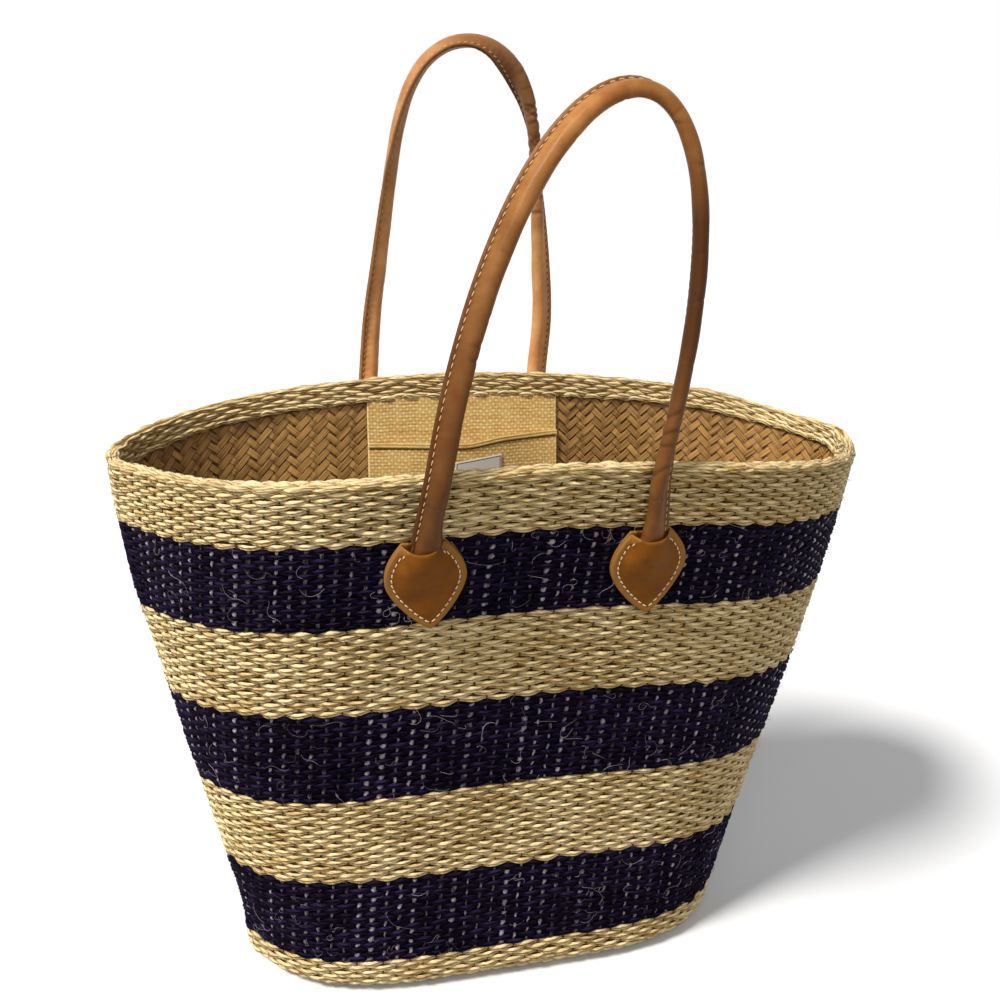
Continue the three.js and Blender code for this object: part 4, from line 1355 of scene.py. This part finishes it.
def dress_handle(name, shape):
    """Skin, core and stitches of one handle, and its tabs."""
    handle = Handle(**shape)
    left, loop, right = handle.stretches()
    leather = handle_leathers[name]
    mouth = on_tab(TAB_MIDDLE_X, handle.side, 0.0, np.array([0.0]), TUBE_OUT)[0]

    def low_piece(label, parts, material, nodes=()):
        made = piece(name + label, parts, material, None, nodes)
        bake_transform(made)

    def high_piece(label, parts, material, nodes=()):
        made = piece(name + label, parts, material, None, nodes)
        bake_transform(made)

    sides = (name + "_left", name + "_right")
    skins = [side + part for side in sides for part in ("_leg_skin", "_handle_end")]
    parts = [skin_part(handle, leg) for leg in (left, right)]
    low_piece("_lower_skins", parts, leather, skins)
    parts = [skin_part(handle, loop)]
    high_piece("_loop_leather", parts, leather, [name + "_loop_skin"])
    cores = [side + "_leg_core" for side in sides]
    parts = [core_part(handle, leg) for leg in (left, right)]
    low_piece("_lower_cores", parts, cord, cores)
    parts = [core_part(handle, loop)]
    high_piece("_loop_cord", parts, cord, [name + "_loop_core"])
    seams = seam_stitches(handle, left) + seam_stitches(handle, right)
    low_piece("_lower_stitches", seams, seam_thread)
    high_piece("_loop_stitches", seam_stitches(handle, loop), seam_thread)
    for sign, side in zip((-1, 1), sides):
        x = tab_middle(sign)
        face, lining = (tab_ply(x, handle.side, domed) for domed in (True, False))
        for label, ply, node in (("top", face, "face"), ("lining", lining, "backing")):
            nodes = [f"{side}_tab_{node}"]
            piece(f"{side}_tab_{label}", [ply], tab_leather, "basket", nodes)
        piece(side + "_tab_stitches", tab_stitches(x, handle.side), thread, "basket")


for handle_name, handle_shape in HANDLES.items():
    dress_handle(handle_name, handle_shape)


# Rim: the strip folded over the edge and sewn down inside

UP = np.array([0.0, 0.0, 1.0])
LEVEL = np.array([1.0, 1.0, 0.0])
RIM_STEP = 0.0015
RIM_TIP = 0.03

# Its strands: how far they sink, half heights over and under a warp, and how far floats may tip
RIM_SINK = 0.0012
RIM_BODY = (0.58, 0.36)
RIM_SLANT = 0.45

# The strands over the fold, from the outside in: inset, rise at the front and at the back, lean in
# degrees, tone, and stretch of the floats
FOLD_PITCH = 0.0024
FOLD_STRANDS = (
    (-0.0001, 0.0008, -0.0012, 12, 0.75, 0.9),
    (0.0008, 0.0027, -0.0006, 42, 0.85, 0.8),
    (0.0026, 0.0037, -0.0001, 75, 0.9, 0.85),
    (0.0048, 0.0037, 0.0000, 102, 0.9, 0.9),
    (0.0070, 0.0028, -0.0006, 140, 0.85, 0.9),
)

# The strands down the inside, the lowest of which hangs in scallops
INSIDE_ROWS = 6
INSIDE_PITCH = 0.0027
INSIDE_TONE = 0.86
SCALLOP_HANG = 0.0019

# Section of the ring inside the fold, as insets and rises
RIM_CORE = (
    (0.0020, -0.0012),
    (0.0026, -0.0002),
    (0.0058, -0.0002),
    (0.0064, -0.0012),
    (0.0062, -0.0142),
    (0.0057, -0.0142),
)
RIM_CORE_STATIONS = 260


def rim_row(height, inset, rises, lean, pitch, number, tone, stretch=1.0, hang=0.0):
    """One strand round the rim, facing lean degrees above the outward direction."""
    v = cover_height(height)
    ring = Ring([v], int(girth(v) / RIM_STEP))
    level = unit(ring.out * LEVEL)
    turn = np.radians(lean)
    face = level * np.cos(turn) + UP * np.sin(turn)
    up = UP * np.cos(turn) - level * np.sin(turn)
    lifted = np.where(ring.on_front, *rises)
    lifted = mix(lifted, sum(rises) / 2, 1 - smooth(ring.tip / RIM_TIP))
    base = ring.point - level * inset + UP * lifted[..., None]
    lay = (ring, base, face, up, np.array([number]), np.array([[pitch]]))
    return yarns(*lay, *RIM_BODY, tone, 0, RIM_SINK, stretch, hang, RIM_SLANT)


def rim_core():
    """Closed ring inside the fold, painted in deep shade, so that no light comes through between
    the strands.
    """
    rings = []
    for inset, rise in RIM_CORE:
        ring = Ring([cover_height(COVER_TOP + min(rise, 0))], RIM_CORE_STATIONS)
        level = unit(ring.out * LEVEL)
        rings.append(ring.point[0] - level[0] * inset + UP * max(rise, 0))
    return tubes(np.stack(rings, 1)[None], SHADED, ring=True)


def rim():
    parts = [rim_core()]
    for i, (inset, *rises, lean, tone, stretch) in enumerate(FOLD_STRANDS):
        parts.append(rim_row(COVER_TOP, inset, rises, lean, FOLD_PITCH, i, tone, stretch))
    last = INSIDE_ROWS - 1
    for i in range(INSIDE_ROWS):
        height = mix(COVER_TOP - 0.001, TURNOVER_EDGE + 0.0012, i / last)
        hang = SCALLOP_HANG if i == last else 0.0
        strand = (height, TURNOVER_FACE, (0, 0), 180, INSIDE_PITCH, i, INSIDE_TONE, 1.0, hang)
        parts.append(rim_row(*strand))
    piece("rim_strands", parts, natural_straw, "basket", ["rim_turnover"])


rim()


# Plaited liner: strips on two slants

# Its upper edge, the depth of its middle and its distance from the side tips
LINER_TOP = COVER_TOP - 0.001
LINER_MIDDLE = (LINER_INSET + LINER_FACE) / 2
LINER_MARGIN = 0.0035

# Half the way from crossing to crossing, across and up, and a strip: how wide it is when it rises
# and when it falls, how far it waves over and under, its section, and its painted shade across
# that, dark at the edges. Then what differs from strip to strip: its width, its slack sideways and
# its tone
CROSSING_X = STRIP_SPACING / (2 * np.sin(STRIP_ANGLE))
CROSSING_Y = STRIP_SPACING / (2 * np.cos(STRIP_ANGLE))
STRIP_WIDTHS = {True: 0.0045, False: 0.0043}
STRIP_WAVE = 0.00036
STRIP_OFFSETS = np.array([-0.5, -0.38, 0.38, 0.5])
STRIP_CROWN = np.array([-1.0, 0.7, 0.7, -1.0]) * 0.00010
STRIP_SHADE = np.array([-0.9, 0.0, 0.0, -0.9])
STRIP_SIZES = (0.93, 1.05)
STRIP_SLACK = 0.00012
STRIP_TONES = (0.5, 0.78)

# The strip folded over each side seam: how far its edges and its middle reach from the tip
FOLD_GAPS = (0.0105, 0.006, 0.0015)
FOLD_DEPTHS = (LINER_FACE - 0.0002, LINER_FACE + 0.0003)
FOLD_WIDTH = 0.012
FOLD_STATIONS = 110

# The base panel's rows: pitch along the bag and across it, height, wave and half thickness
BASE_WEFT_PITCH = 0.0041
BASE_WARP_PITCH = 0.0083
BASE_MIDDLE = 0.0016
BASE_WAVE = 0.00055
BASE_HALF_THICK = 0.00095
BASE_HALF_WIDTH = 0.47
BASE_GIRTH = 0.009


def strip_heights(i, j):
    """1 where the rising strips lie on top and -1 where they pass under: over two, under one, over
    two and under two, each strip a step on from the last."""

    def level(a, b):
        return np.where(np.isin(np.mod(np.rint(a - b), 7), (0, 1, 3, 4)), 1.0, -1.0)

    return (level(np.floor(i), np.floor(j)) + level(np.ceil(i), np.ceil(j))) / 2


def strip(place, i, j, rising):
    """One strip through its crossings i, j, tipped over and under the others: flat on top, with
    edges that turn down and are painted in shade. It is painted lighter where it lies on top and in
    painted shade where it passes under."""
    point, facing, inside = place((j - i) * CROSSING_X, (i + j) * CROSSING_Y)
    if inside.sum() < 3:
        return None
    kept = slice(int(np.argmax(inside)), len(inside) - int(np.argmax(inside[::-1])))
    point, facing = point[kept], facing[kept]
    level = strip_heights(i, j)[kept] * (1 if rising else -1)
    across = unit(np.cross(unit(np.gradient(point, axis=0)), facing))
    offsets = STRIP_OFFSETS * STRIP_WIDTHS[rising] * rng.uniform(*STRIP_SIZES)
    slack = rng.uniform(-STRIP_SLACK, STRIP_SLACK, len(level))
    centre = point + facing * (level * STRIP_WAVE)[:, None] + across * slack[:, None]
    points = centre[:, None] + across[:, None] * offsets[:, None]
    points = points + facing[:, None] * STRIP_CROWN[:, None]
    along = (j if rising else i)[kept] * STRIP_SPACING + rng.uniform(0, 2)
    tone = rng.uniform(*STRIP_TONES) + 0.10 * np.sin(along * 90 + rng.uniform(0, 6))
    # Painted light where the strip lies on top, painted shade where it passes under and at its
    # edges
    tone = tone + 0.15 * level
    tone = np.clip(tone[:, None] + STRIP_SHADE - 0.3 * (level[:, None] < -0.5), 0, 1)
    fibre = np.stack(np.broadcast_arrays(along[:, None], offsets, tone), -1)
    return tubes(points[None], fibre[None])


def plait(place, width, low, high, rising):
    """All strips of one slant over a field from -width to width across and from low to high."""
    reach, bottom, top = width / CROSSING_X, low / CROSSING_Y, high / CROSSING_Y
    parts = []
    for k in range(int((bottom - reach) / 2) - 1, int((top + reach) / 2) + 2):
        start, end = max(k - reach, bottom - k), min(k + reach, top - k)
        other = np.arange(np.floor(start), np.ceil(end) + 0.01, 0.5)
        if len(other) < 4:
            continue
        own = np.full(len(other), float(k))
        made = strip(place, own, other, True) if rising else strip(place, other, own, False)
        if made:
            parts.append(made)
    return parts


def liner_wall_place(side):
    """Places on the liner's middle surface, by metres across and up the wall, with the inward
    direction and whether they are inside its edges."""
    top = float(walls[side].height_at(LINER_TOP / BAG_HEIGHT))

    def place(x, y):
        level = np.clip(y, 0, top)
        half = walls[side].half_length(level)
        point, out, _ = walls[side].at(level, np.clip(x / half, -1, 1))
        inside = (y > 0.0005) & (y < top) & (np.abs(x) < half - LINER_MARGIN)
        return point - out * LINER_MIDDLE, -out, inside

    return place, top


def base_outline(inset):
    """Half depth of the base's outline at x, and its half width, moved in by the inset."""
    half = half_width(0.0) - inset
    side_power, wall_power = SIDE_POWERS[0], WALL_POWERS[FRONT][0]

    def depth(x):
        share = np.clip(np.abs(x) / half, 0, 1)
        return (wall_depth(0.0, FRONT) - inset) * (1 - share**side_power) ** (1 / wall_power)

    return depth, half


def liner_fold(sign):
    """Leaf strip sewn up one side of the liner, folded over the ends of both walls' strips."""
    v = np.linspace(0.003, float(cover_height(LINER_TOP)), FOLD_STATIONS)
    wave = 0.0005 * np.sin(v * 330 + sign)
    layers = []
    for depth in FOLD_DEPTHS:
        lines = []
        for side, gaps in ((FRONT, FOLD_GAPS), (BACK, FOLD_GAPS[::-1])):
            half = walls[side].half_length(v)
            for gap in gaps:
                point, out, _ = walls[side].at(v, sign * (half - gap - wave) / half)
                lines.append(point - out * depth)
        layers.append(lines)
    loop = np.stack(layers[0] + layers[1][::-1], 1)[:, :: -int(sign)]
    across = np.linspace(-0.5, 0.5, 6)
    across = np.concatenate([across, across[::-1]]) * FOLD_WIDTH
    tone = 0.55 + 0.1 * np.sin(v * 70 + sign)[:, None]
    fibre = np.stack(np.broadcast_arrays(v[:, None], across, tone), -1)
    return tubes(loop[None], fibre[None])


def leaf_piece(name, parts, nodes=()):
    piece(name, parts, palm_leaf, "basket", nodes, smooth_faces=False)


def liner():
    leaf_piece("liner_side_folds", [liner_fold(sign) for sign in (-1, 1)])
    for side, label in ((BACK, "back"), (FRONT, "front")):
        place, top = liner_wall_place(side)
        width = float(walls[side].half_length(top))
        for rising, way in ((True, "rising"), (False, "falling")):
            nodes = ["liner_wall"] if side == BACK and rising else []
            leaf_piece(f"liner_{label}_{way}_strips", plait(place, width, 0.0, top, rising), nodes)
    depth, half = base_outline(BASE_CORNER)

    def flat_place(x, y):
        inside = (np.abs(x) < half) & (np.abs(y) < depth(x))
        point = np.stack([x, y, np.full_like(x, LINER_MIDDLE)], -1)
        return point, np.broadcast_to(UP, point.shape), inside

    field = (flat_place, half, -DEPTHS[0], DEPTHS[0])
    leaf_piece("liner_base_strips", plait(*field, True) + plait(*field, False), ["liner_base"])


liner()


def base_rows(pitch, other, across):
    """Yarns of the base panel one way, along the bag or across it, over and under the others."""
    depth, half = base_outline(BASE_CORNER + SEAT_GAP)
    count = int((half if across else float(depth(0.0))) / pitch)
    x = np.linspace(-half, half, 400)
    angles = turns_of(6)
    beside = np.array([1.0, 0.0, 0.0] if across else [0.0, 1.0, 0.0])
    parts = []
    for k in range(-count, count + 1):
        at = k * pitch
        reach = float(depth(at)) if across else float(x[depth(x) > abs(at)].max())
        reach -= 0.001
        if reach < 3 * other:
            continue
        run = np.linspace(-reach, reach, int(4 * reach / other) + 1)
        wave = BASE_WAVE * np.cos(np.pi * (run / other + k)) * (1 if across else -1)
        line = np.stack([np.full_like(run, at), run, BASE_MIDDLE + wave], -1)
        line = line if across else line[:, [1, 0, 2]]
        points = section(line, UP, beside, BASE_HALF_THICK, pitch * BASE_HALF_WIDTH, angles)
        tone = np.clip(rng.uniform(0.3, 0.8) + 0.1 * np.sin(run * 60), 0, 1)
        parts.append(tubes(points[None], fibre_of(run + k, angles, BASE_GIRTH, tone)[None]))
    return parts


base_parts = base_rows(BASE_WEFT_PITCH, BASE_WARP_PITCH, False)
base_parts += base_rows(BASE_WARP_PITCH, BASE_WEFT_PITCH, True)
piece("base_weave", base_parts, natural_straw, "basket", ["woven_base"])


# Pocket

POCKET_WIDTH = 0.125
POCKET_MIDDLE_X = -0.0115
POCKET_MOUTH_Z = 0.319
POCKET_BOTTOM_Z = 0.175
POCKET_GAPE = 0.008
POCKET_CLOTH = 0.001
HEM_THICK = 0.001
HEM_HEIGHT = 0.0038
LABEL_THICK = 0.0006
LABEL_WIDTH = 0.031
LABEL_HEIGHT = 0.012
LABEL_MIDDLE_X = -0.0035
LABEL_TOP_Z = 0.307
LABEL_SLANT = 0.0046
CLOTH_PITCH = 0.0021
CLOTH_STEP = CLOTH_PITCH / 3
FINE_STEP = 0.0005

# The cloth's yarns, weft and warp: how narrow, how round and how wavy each is
CLOTH_WEFT = (1.8, 0.72, 0.28)
CLOTH_WARP = (1.9, 0.5, -0.3)
CLOTH_DRIFT = 0.0002
CLOTH_BACK = 0.35

# The pocket's mouth: its fall to the middle, and its pull up at the right and at the far right
MOUTH_FALL = 0.0016
MOUTH_PULLS = (0.0036, 0.0028)
POCKET_FRONT_LIFT = SEAT_GAP + POCKET_CLOTH


def pocket_gape(x, z):
    """How far the front cloth stands off: most at the middle of its mouth, none at its sides."""
    across = 2 * (x - POCKET_MIDDLE_X) / POCKET_WIDTH
    up = (z - POCKET_BOTTOM_Z) / (POCKET_MOUTH_Z - POCKET_BOTTOM_Z)
    bow = np.maximum(0, 1 - across**2)
    return SEAT_GAP + POCKET_GAPE * bow**2 * np.maximum(0, up) ** 3


def on_back_wall(x, z, lift):
    """Point at a lift in from the liner's inner face on the back wall."""
    inset = np.asarray(LINER_FACE + lift)[..., None]
    return surface_point(x, z, BACK) - surface_normal(x, z, BACK) * inset


def plain_weave(x, z):
    """Relief of a fine plain weave, from 0 in its holes to 1 on its yarns: the higher of the two
    yarns, each round across and waving by a cosine along."""

    def yarn(across, along, narrow, round_share, wave):
        row = np.rint(across)
        body = np.sqrt(np.maximum(0, 1 - (narrow * (across - row)) ** 2)) * round_share
        return body + wave * np.cos(np.pi * (along + row))

    a = (x + CLOTH_DRIFT * np.sin(z * 700)) / CLOTH_PITCH
    b = (z + CLOTH_DRIFT * np.sin(x * 460)) / CLOTH_PITCH
    return np.clip(np.maximum(yarn(b, a, *CLOTH_WEFT), yarn(a, b, *CLOTH_WARP)), 0, 1)


def cloth(name, node, slot, material, thick, low, top, lift, relief, **field):
    """Closed sheet on the back wall: a relief over a grid of columns and rows between two edges,
    with a plain back. Its second fibre value is the distance from its sides, or from all its
    edges if it is framed, and its third one the relief's height."""
    field = dict(middle=POCKET_MIDDLE_X, width=POCKET_WIDTH, step=CLOTH_STEP, slant=0.0) | field
    middle, width, step = field["middle"], field["width"], field["step"]
    columns = int(round(width / step)) + 1
    u = np.linspace(-0.5, 0.5, columns)
    x = middle + width * u
    rows = int(round(float(np.mean(top(x) - low(x))) / step)) + 1
    u, w = np.meshgrid(u, np.linspace(0, 1, rows))
    x = middle + width * u
    z = mix(low(x), top(x), w) + field["slant"] * u
    height = relief(x, z, w)
    near = on_back_wall(x, z, lift(x, z))
    far = on_back_wall(x, z, lift(x, z) + thick * mix(CLOTH_BACK, 1.0, height))
    edge = np.minimum(u + 0.5, 0.5 - u) * width
    if field.get("framed"):
        edge = np.minimum(edge, np.minimum(w, 1 - w) * (top(x) - low(x)))
    grid = lattice(1, rows, columns, tube=False)
    numbers = np.arange(rows * columns).reshape(rows, columns)
    right, left = numbers[1:, -1], numbers[-2:0:-1, 0]
    border = np.concatenate([numbers[0], right, numbers[-1, -2::-1], left])
    after = np.roll(border, -1)
    offset = rows * columns
    side = np.stack([border, after, after + offset, border + offset], -1)
    faces = [grid + offset, grid[:, ::-1], side[:, ::-1]]
    points = np.concatenate([near.reshape(-1, 3), far.reshape(-1, 3)])
    fibre = np.stack([x, edge, height], -1).reshape(-1, 3)
    parts = [(points, faces, np.concatenate([fibre, fibre]))]
    return piece(name, parts, material, "basket", [node])


def cloth_material():
    """Golden open cloth: painted shade deep in its holes and low places, paler on its yarns, palest
    along the woven edges.
    """
    made, tree, shader = new_material("raffia cloth")
    values = fibre_values(tree)
    lit = spread(tree, values[2], 0.2, 0.95)
    inputs = {"Vector": object_place(tree), "Scale": (90, 90, 900)}
    stretched = add(tree, "ShaderNodeMapping", inputs)
    uneven = spread(tree, noise(tree, stretched.outputs[0], 1.0, 3.0), 0.3, 0.7)
    pale = mix_colour(tree, uneven, srgb(232, 182, 104), srgb(255, 228, 152))
    colour = mix_colour(tree, lit, srgb(112, 70, 26), pale)
    edge = spread(tree, values[1], 0.0012, 0.0004)
    colour = mix_colour(tree, edge, colour, srgb(236, 206, 148))
    coat(tree, shader, colour, 0.75, 0.25)
    return made


def label_material():
    """Pale tape with a dark line woven along its border."""
    made, tree, shader = new_material("label tape")
    edge = fibre_values(tree)[1]
    inner = math_node(tree, "GREATER_THAN", edge, 0.0009)
    outer = math_node(tree, "LESS_THAN", edge, 0.0014)
    line = math_node(tree, "MULTIPLY", inner, outer)
    colour = mix_colour(tree, line, srgb(206, 200, 190), srgb(70, 62, 60))
    coat(tree, shader, colour, 0.5)
    return made


def pocket():
    raffia = ("raffia_cloth", cloth_material())

    def woven(x, z, w):
        return plain_weave(x, z)

    def ridges(x, z, w):
        """Two narrow ridges along the fold, puckered by its stitches, over a sunk lower edge that
        the cloth's painted shade darkens.
        """
        pucker = 0.86 + 0.16 * np.sin(x * 900) * np.sin(x * 230 + 1)
        roll = np.exp(-(((w - 0.86) / 0.12) ** 2)) + np.exp(-(((w - 0.42) / 0.13) ** 2))
        return np.clip(0.42 + 0.58 * roll * pucker, 0, 1) * smooth(w / 0.25)

    def tape(x, z, w):
        return 0.9 + 0.1 * np.sin(x * 2500) * np.sin(z * 2500)

    def foot(x):
        return POCKET_BOTTOM_Z

    def under_turnover(x):
        return wall_height(TURNOVER_EDGE / BAG_HEIGHT, x) + 0.0035

    def mouth(x):
        """Edge that falls a little to the middle and is pulled up at the right."""
        beside = x - POCKET_MIDDLE_X
        fall = MOUTH_FALL * np.clip(1 + beside / (POCKET_WIDTH / 2), 0, 1)
        near = MOUTH_PULLS[0] * ramp(beside, -0.002, 0.026)
        far = MOUTH_PULLS[1] * np.clip((beside - 0.02) / 0.04, 0, 1)
        return POCKET_MOUTH_Z - 0.0008 - fall + near + far

    def over_front(lift):
        return lambda x, z: POCKET_FRONT_LIFT + pocket_gape(x, z) + lift

    sheet = (*raffia, POCKET_CLOTH, foot)
    behind = (under_turnover, lambda x, z: SEAT_GAP)
    back = cloth("pocket_back_weave", "pocket_back_cloth", *sheet, *behind, woven)
    front = cloth("pocket_front_weave", "pocket_front_cloth", *sheet, mouth, over_front(0), woven)
    hem_edges = (lambda x: mouth(x) - HEM_HEIGHT, mouth, over_front(POCKET_CLOTH))
    hem = cloth(
        "pocket_hem_fold", "pocket_hem", *raffia, HEM_THICK, *hem_edges, ridges, step=FINE_STEP
    )
    label = cloth(
        "label_tape",
        "blank_label",
        "label_tape",
        label_material(),
        LABEL_THICK,
        lambda x: LABEL_TOP_Z - LABEL_HEIGHT,
        lambda x: LABEL_TOP_Z,
        over_front(POCKET_CLOTH + SEAT_GAP),
        tape,
        middle=LABEL_MIDDLE_X,
        width=LABEL_WIDTH,
        step=FINE_STEP,
        slant=LABEL_SLANT,
        framed=True,
    )


pocket()


# Stray fibres

STRAY_TOP = 0.336
STRAY_STATIONS = 14

# Ranges of a stray fibre: its place across the wall, distance from its row, bend and wave in
# radians, lift off the weave and half thickness, and its length as a gamma value plus the least
STRAY_SHARES = (-0.93, 0.93)
STRAY_SHIFTS = (-0.002, 0.002)
STRAY_BEND = 2.6
STRAY_WAVE = 0.7
STRAY_LIFTS = (0.0003, 0.0021)
STRAY_HALF = (0.00008, 0.00016)
STRAY_LENGTH = (2.0, 0.0045)
STRAY_LEAST = 0.004


def stray_fibres(name, bands, count, material):
    """Loose curly fibres that stand off the weave. Each turns steadily in the wall's surface, with
    a wave, and lifts off in the middle."""
    angles = turns_of(3)
    s = np.linspace(0, 1, STRAY_STATIONS)
    highest = cover_height(STRAY_TOP)
    parts = []
    for side in (FRONT, BACK):
        share = count // (2 * len(bands))
        levels = [rng.choice(ROW_HEIGHTS[ROW_BANDS == band], share) for band in bands]
        levels = np.concatenate(levels)
        shape = (len(levels), 1)
        levels = levels + rng.uniform(*STRAY_SHIFTS, len(levels))
        shares = rng.uniform(*STRAY_SHARES, len(levels))
        half = walls[side].half_length(levels)
        length = rng.gamma(*STRAY_LENGTH, len(levels)) + STRAY_LEAST
        bend = rng.normal(0, STRAY_BEND, shape)
        heading = rng.uniform(0, 2 * np.pi, shape) + bend * s
        wave = rng.normal(0, STRAY_WAVE, shape)
        heading = heading + wave * np.sin(7 * s + rng.uniform(0, 6, shape))
        step = (length / (STRAY_STATIONS - 1))[:, None]
        x = np.cumsum(np.cos(heading) * step, 1)
        y = np.cumsum(np.sin(heading) * step, 1)
        level = np.minimum(levels[:, None] + y, highest)
        point, out, _ = walls[side].at(level, shares[:, None] + x / half[:, None])
        lift = 0.0003 + rng.uniform(*STRAY_LIFTS, shape) * np.sin(np.pi * s) ** 0.8
        centre = point + out * lift[..., None]
        radius = rng.uniform(*STRAY_HALF, shape) * (1 - 0.5 * s)
        across = unit(np.cross(unit(np.gradient(centre, axis=1)), out))
        points = section(centre, out, across, radius, radius, angles)
        fibre = fibre_of(s, angles, 0.001, rng.uniform(0.4, 1.0, shape))
        parts.append(tubes(points, fibre))
    piece(name, parts, material, "basket")


NAVY_BANDS = ("navy_band_upper", "navy_band_middle", "navy_band_lower")
NATURAL_BANDS = ("natural_band_rim", "natural_band_upper", "natural_band_lower")
stray_fibres("stray_fibres_navy", NAVY_BANDS, 420, warp_straw)
stray_fibres("stray_fibres_natural", NATURAL_BANDS, 240, natural_straw)


# Camera, light and floor

CAMERA_TARGET = Vector((-0.00549, 0, 0.30252))
CAMERA_DISTANCE = 0.6543
CAMERA_AZIMUTH = np.radians(-15.638)
CAMERA_ELEVATION = np.radians(19.131)
CAMERA_ROLL = np.radians(2.553)
CAMERA_LENS = 39.6
SENSOR_WIDTH = 36.0
FLOOR_RADIUS = 6.0
FLOOR_SIDES = 64
FLOOR_Z = -0.0005

# Each sun: where it stands, its spread in degrees, its strength and its colour
SUNS = {
    "key": ((-0.9, -0.43, 1.22), 12, 3.5, (1.0, 0.975, 0.94)),
    "front": ((-0.3, -0.9, 0.6), 40, 0.6, (1.0, 0.985, 0.96)),
}


def camera():
    """The photograph's view: an azimuth from the front, an elevation and a small roll."""
    across, ahead = np.sin(CAMERA_AZIMUTH), np.cos(CAMERA_AZIMUTH)
    level = np.cos(CAMERA_ELEVATION)
    back = Vector((across * level, -ahead * level, np.sin(CAMERA_ELEVATION)))
    right = Vector((ahead, across, 0))
    up = back.cross(right)
    turned = right * np.cos(CAMERA_ROLL) + up * np.sin(CAMERA_ROLL)
    upward = up * np.cos(CAMERA_ROLL) - right * np.sin(CAMERA_ROLL)
    data = bpy.data.cameras.new("camera")
    data.sensor_width = SENSOR_WIDTH
    data.lens = CAMERA_LENS
    data.clip_start = 0.05
    data.clip_end = 20.0
    made = placed("camera", data)
    axes = Matrix((turned, upward, back)).transposed().to_4x4()
    axes.translation = CAMERA_TARGET + back * CAMERA_DISTANCE
    made.matrix_world = axes
    bpy.context.scene.camera = made


def sun(name, towards, angle, strength, colour):
    data = bpy.data.lights.new(name, "SUN")
    data.angle = np.radians(angle)
    data.energy = strength
    data.color = colour
    placed(name, data).rotation_euler = Vector(towards).to_track_quat("Z", "Y").to_euler()


def seen_or_lighting(tree, result, seen, lighting):
    """Give a surface or a world one shader that is seen by the camera, in gloss and through glass,
    and another one that lights."""
    path = add(tree, "ShaderNodeLightPath").outputs
    share = math_node(tree, "ADD", path["Is Camera Ray"], path["Is Glossy Ray"])
    share = math_node(tree, "ADD", share, path["Is Transmission Ray"], clamp=True)
    inputs = {0: share, 1: lighting.outputs[0], 2: seen.outputs[0]}
    put(tree, result.inputs["Surface"], add(tree, "ShaderNodeMixShader", inputs).outputs[0])


def studio():
    world = bpy.data.worlds.new("studio")
    bpy.context.scene.world = world
    world.use_nodes = True
    tree = world.node_tree
    tree.nodes.clear()
    white = add(tree, "ShaderNodeBackground", {"Color": (1, 1, 1, 1), "Strength": 1.0})
    soft = add(tree, "ShaderNodeBackground", {"Color": (0.98, 0.98, 1.0, 1), "Strength": 0.32})
    seen_or_lighting(tree, tree.nodes.new("ShaderNodeOutputWorld"), white, soft)
    for name, light in SUNS.items():
        sun(name, *light)
    angle = turns_of(FLOOR_SIDES)
    points = np.stack([np.cos(angle), np.sin(angle), 0 * angle], -1) * FLOOR_RADIUS
    points[:, 2] = FLOOR_Z
    mesh = bpy.data.meshes.new("floor")
    mesh.from_pydata(points.tolist(), [], [tuple(range(FLOOR_SIDES))])
    floor = placed("floor", mesh)
    made, tree, _ = new_material("pale floor")
    tree.nodes.clear()
    pale = add(tree, "ShaderNodeBsdfDiffuse", {"Color": (0.9, 0.91, 0.92, 1)})
    dull = add(tree, "ShaderNodeBsdfDiffuse", {"Color": (0.36, 0.36, 0.36, 1)})
    seen_or_lighting(tree, tree.nodes.new("ShaderNodeOutputMaterial"), pale, dull)
    mesh.materials.append(made)


camera()
studio()
scene = bpy.context.scene
scene.view_settings.view_transform = "Standard"
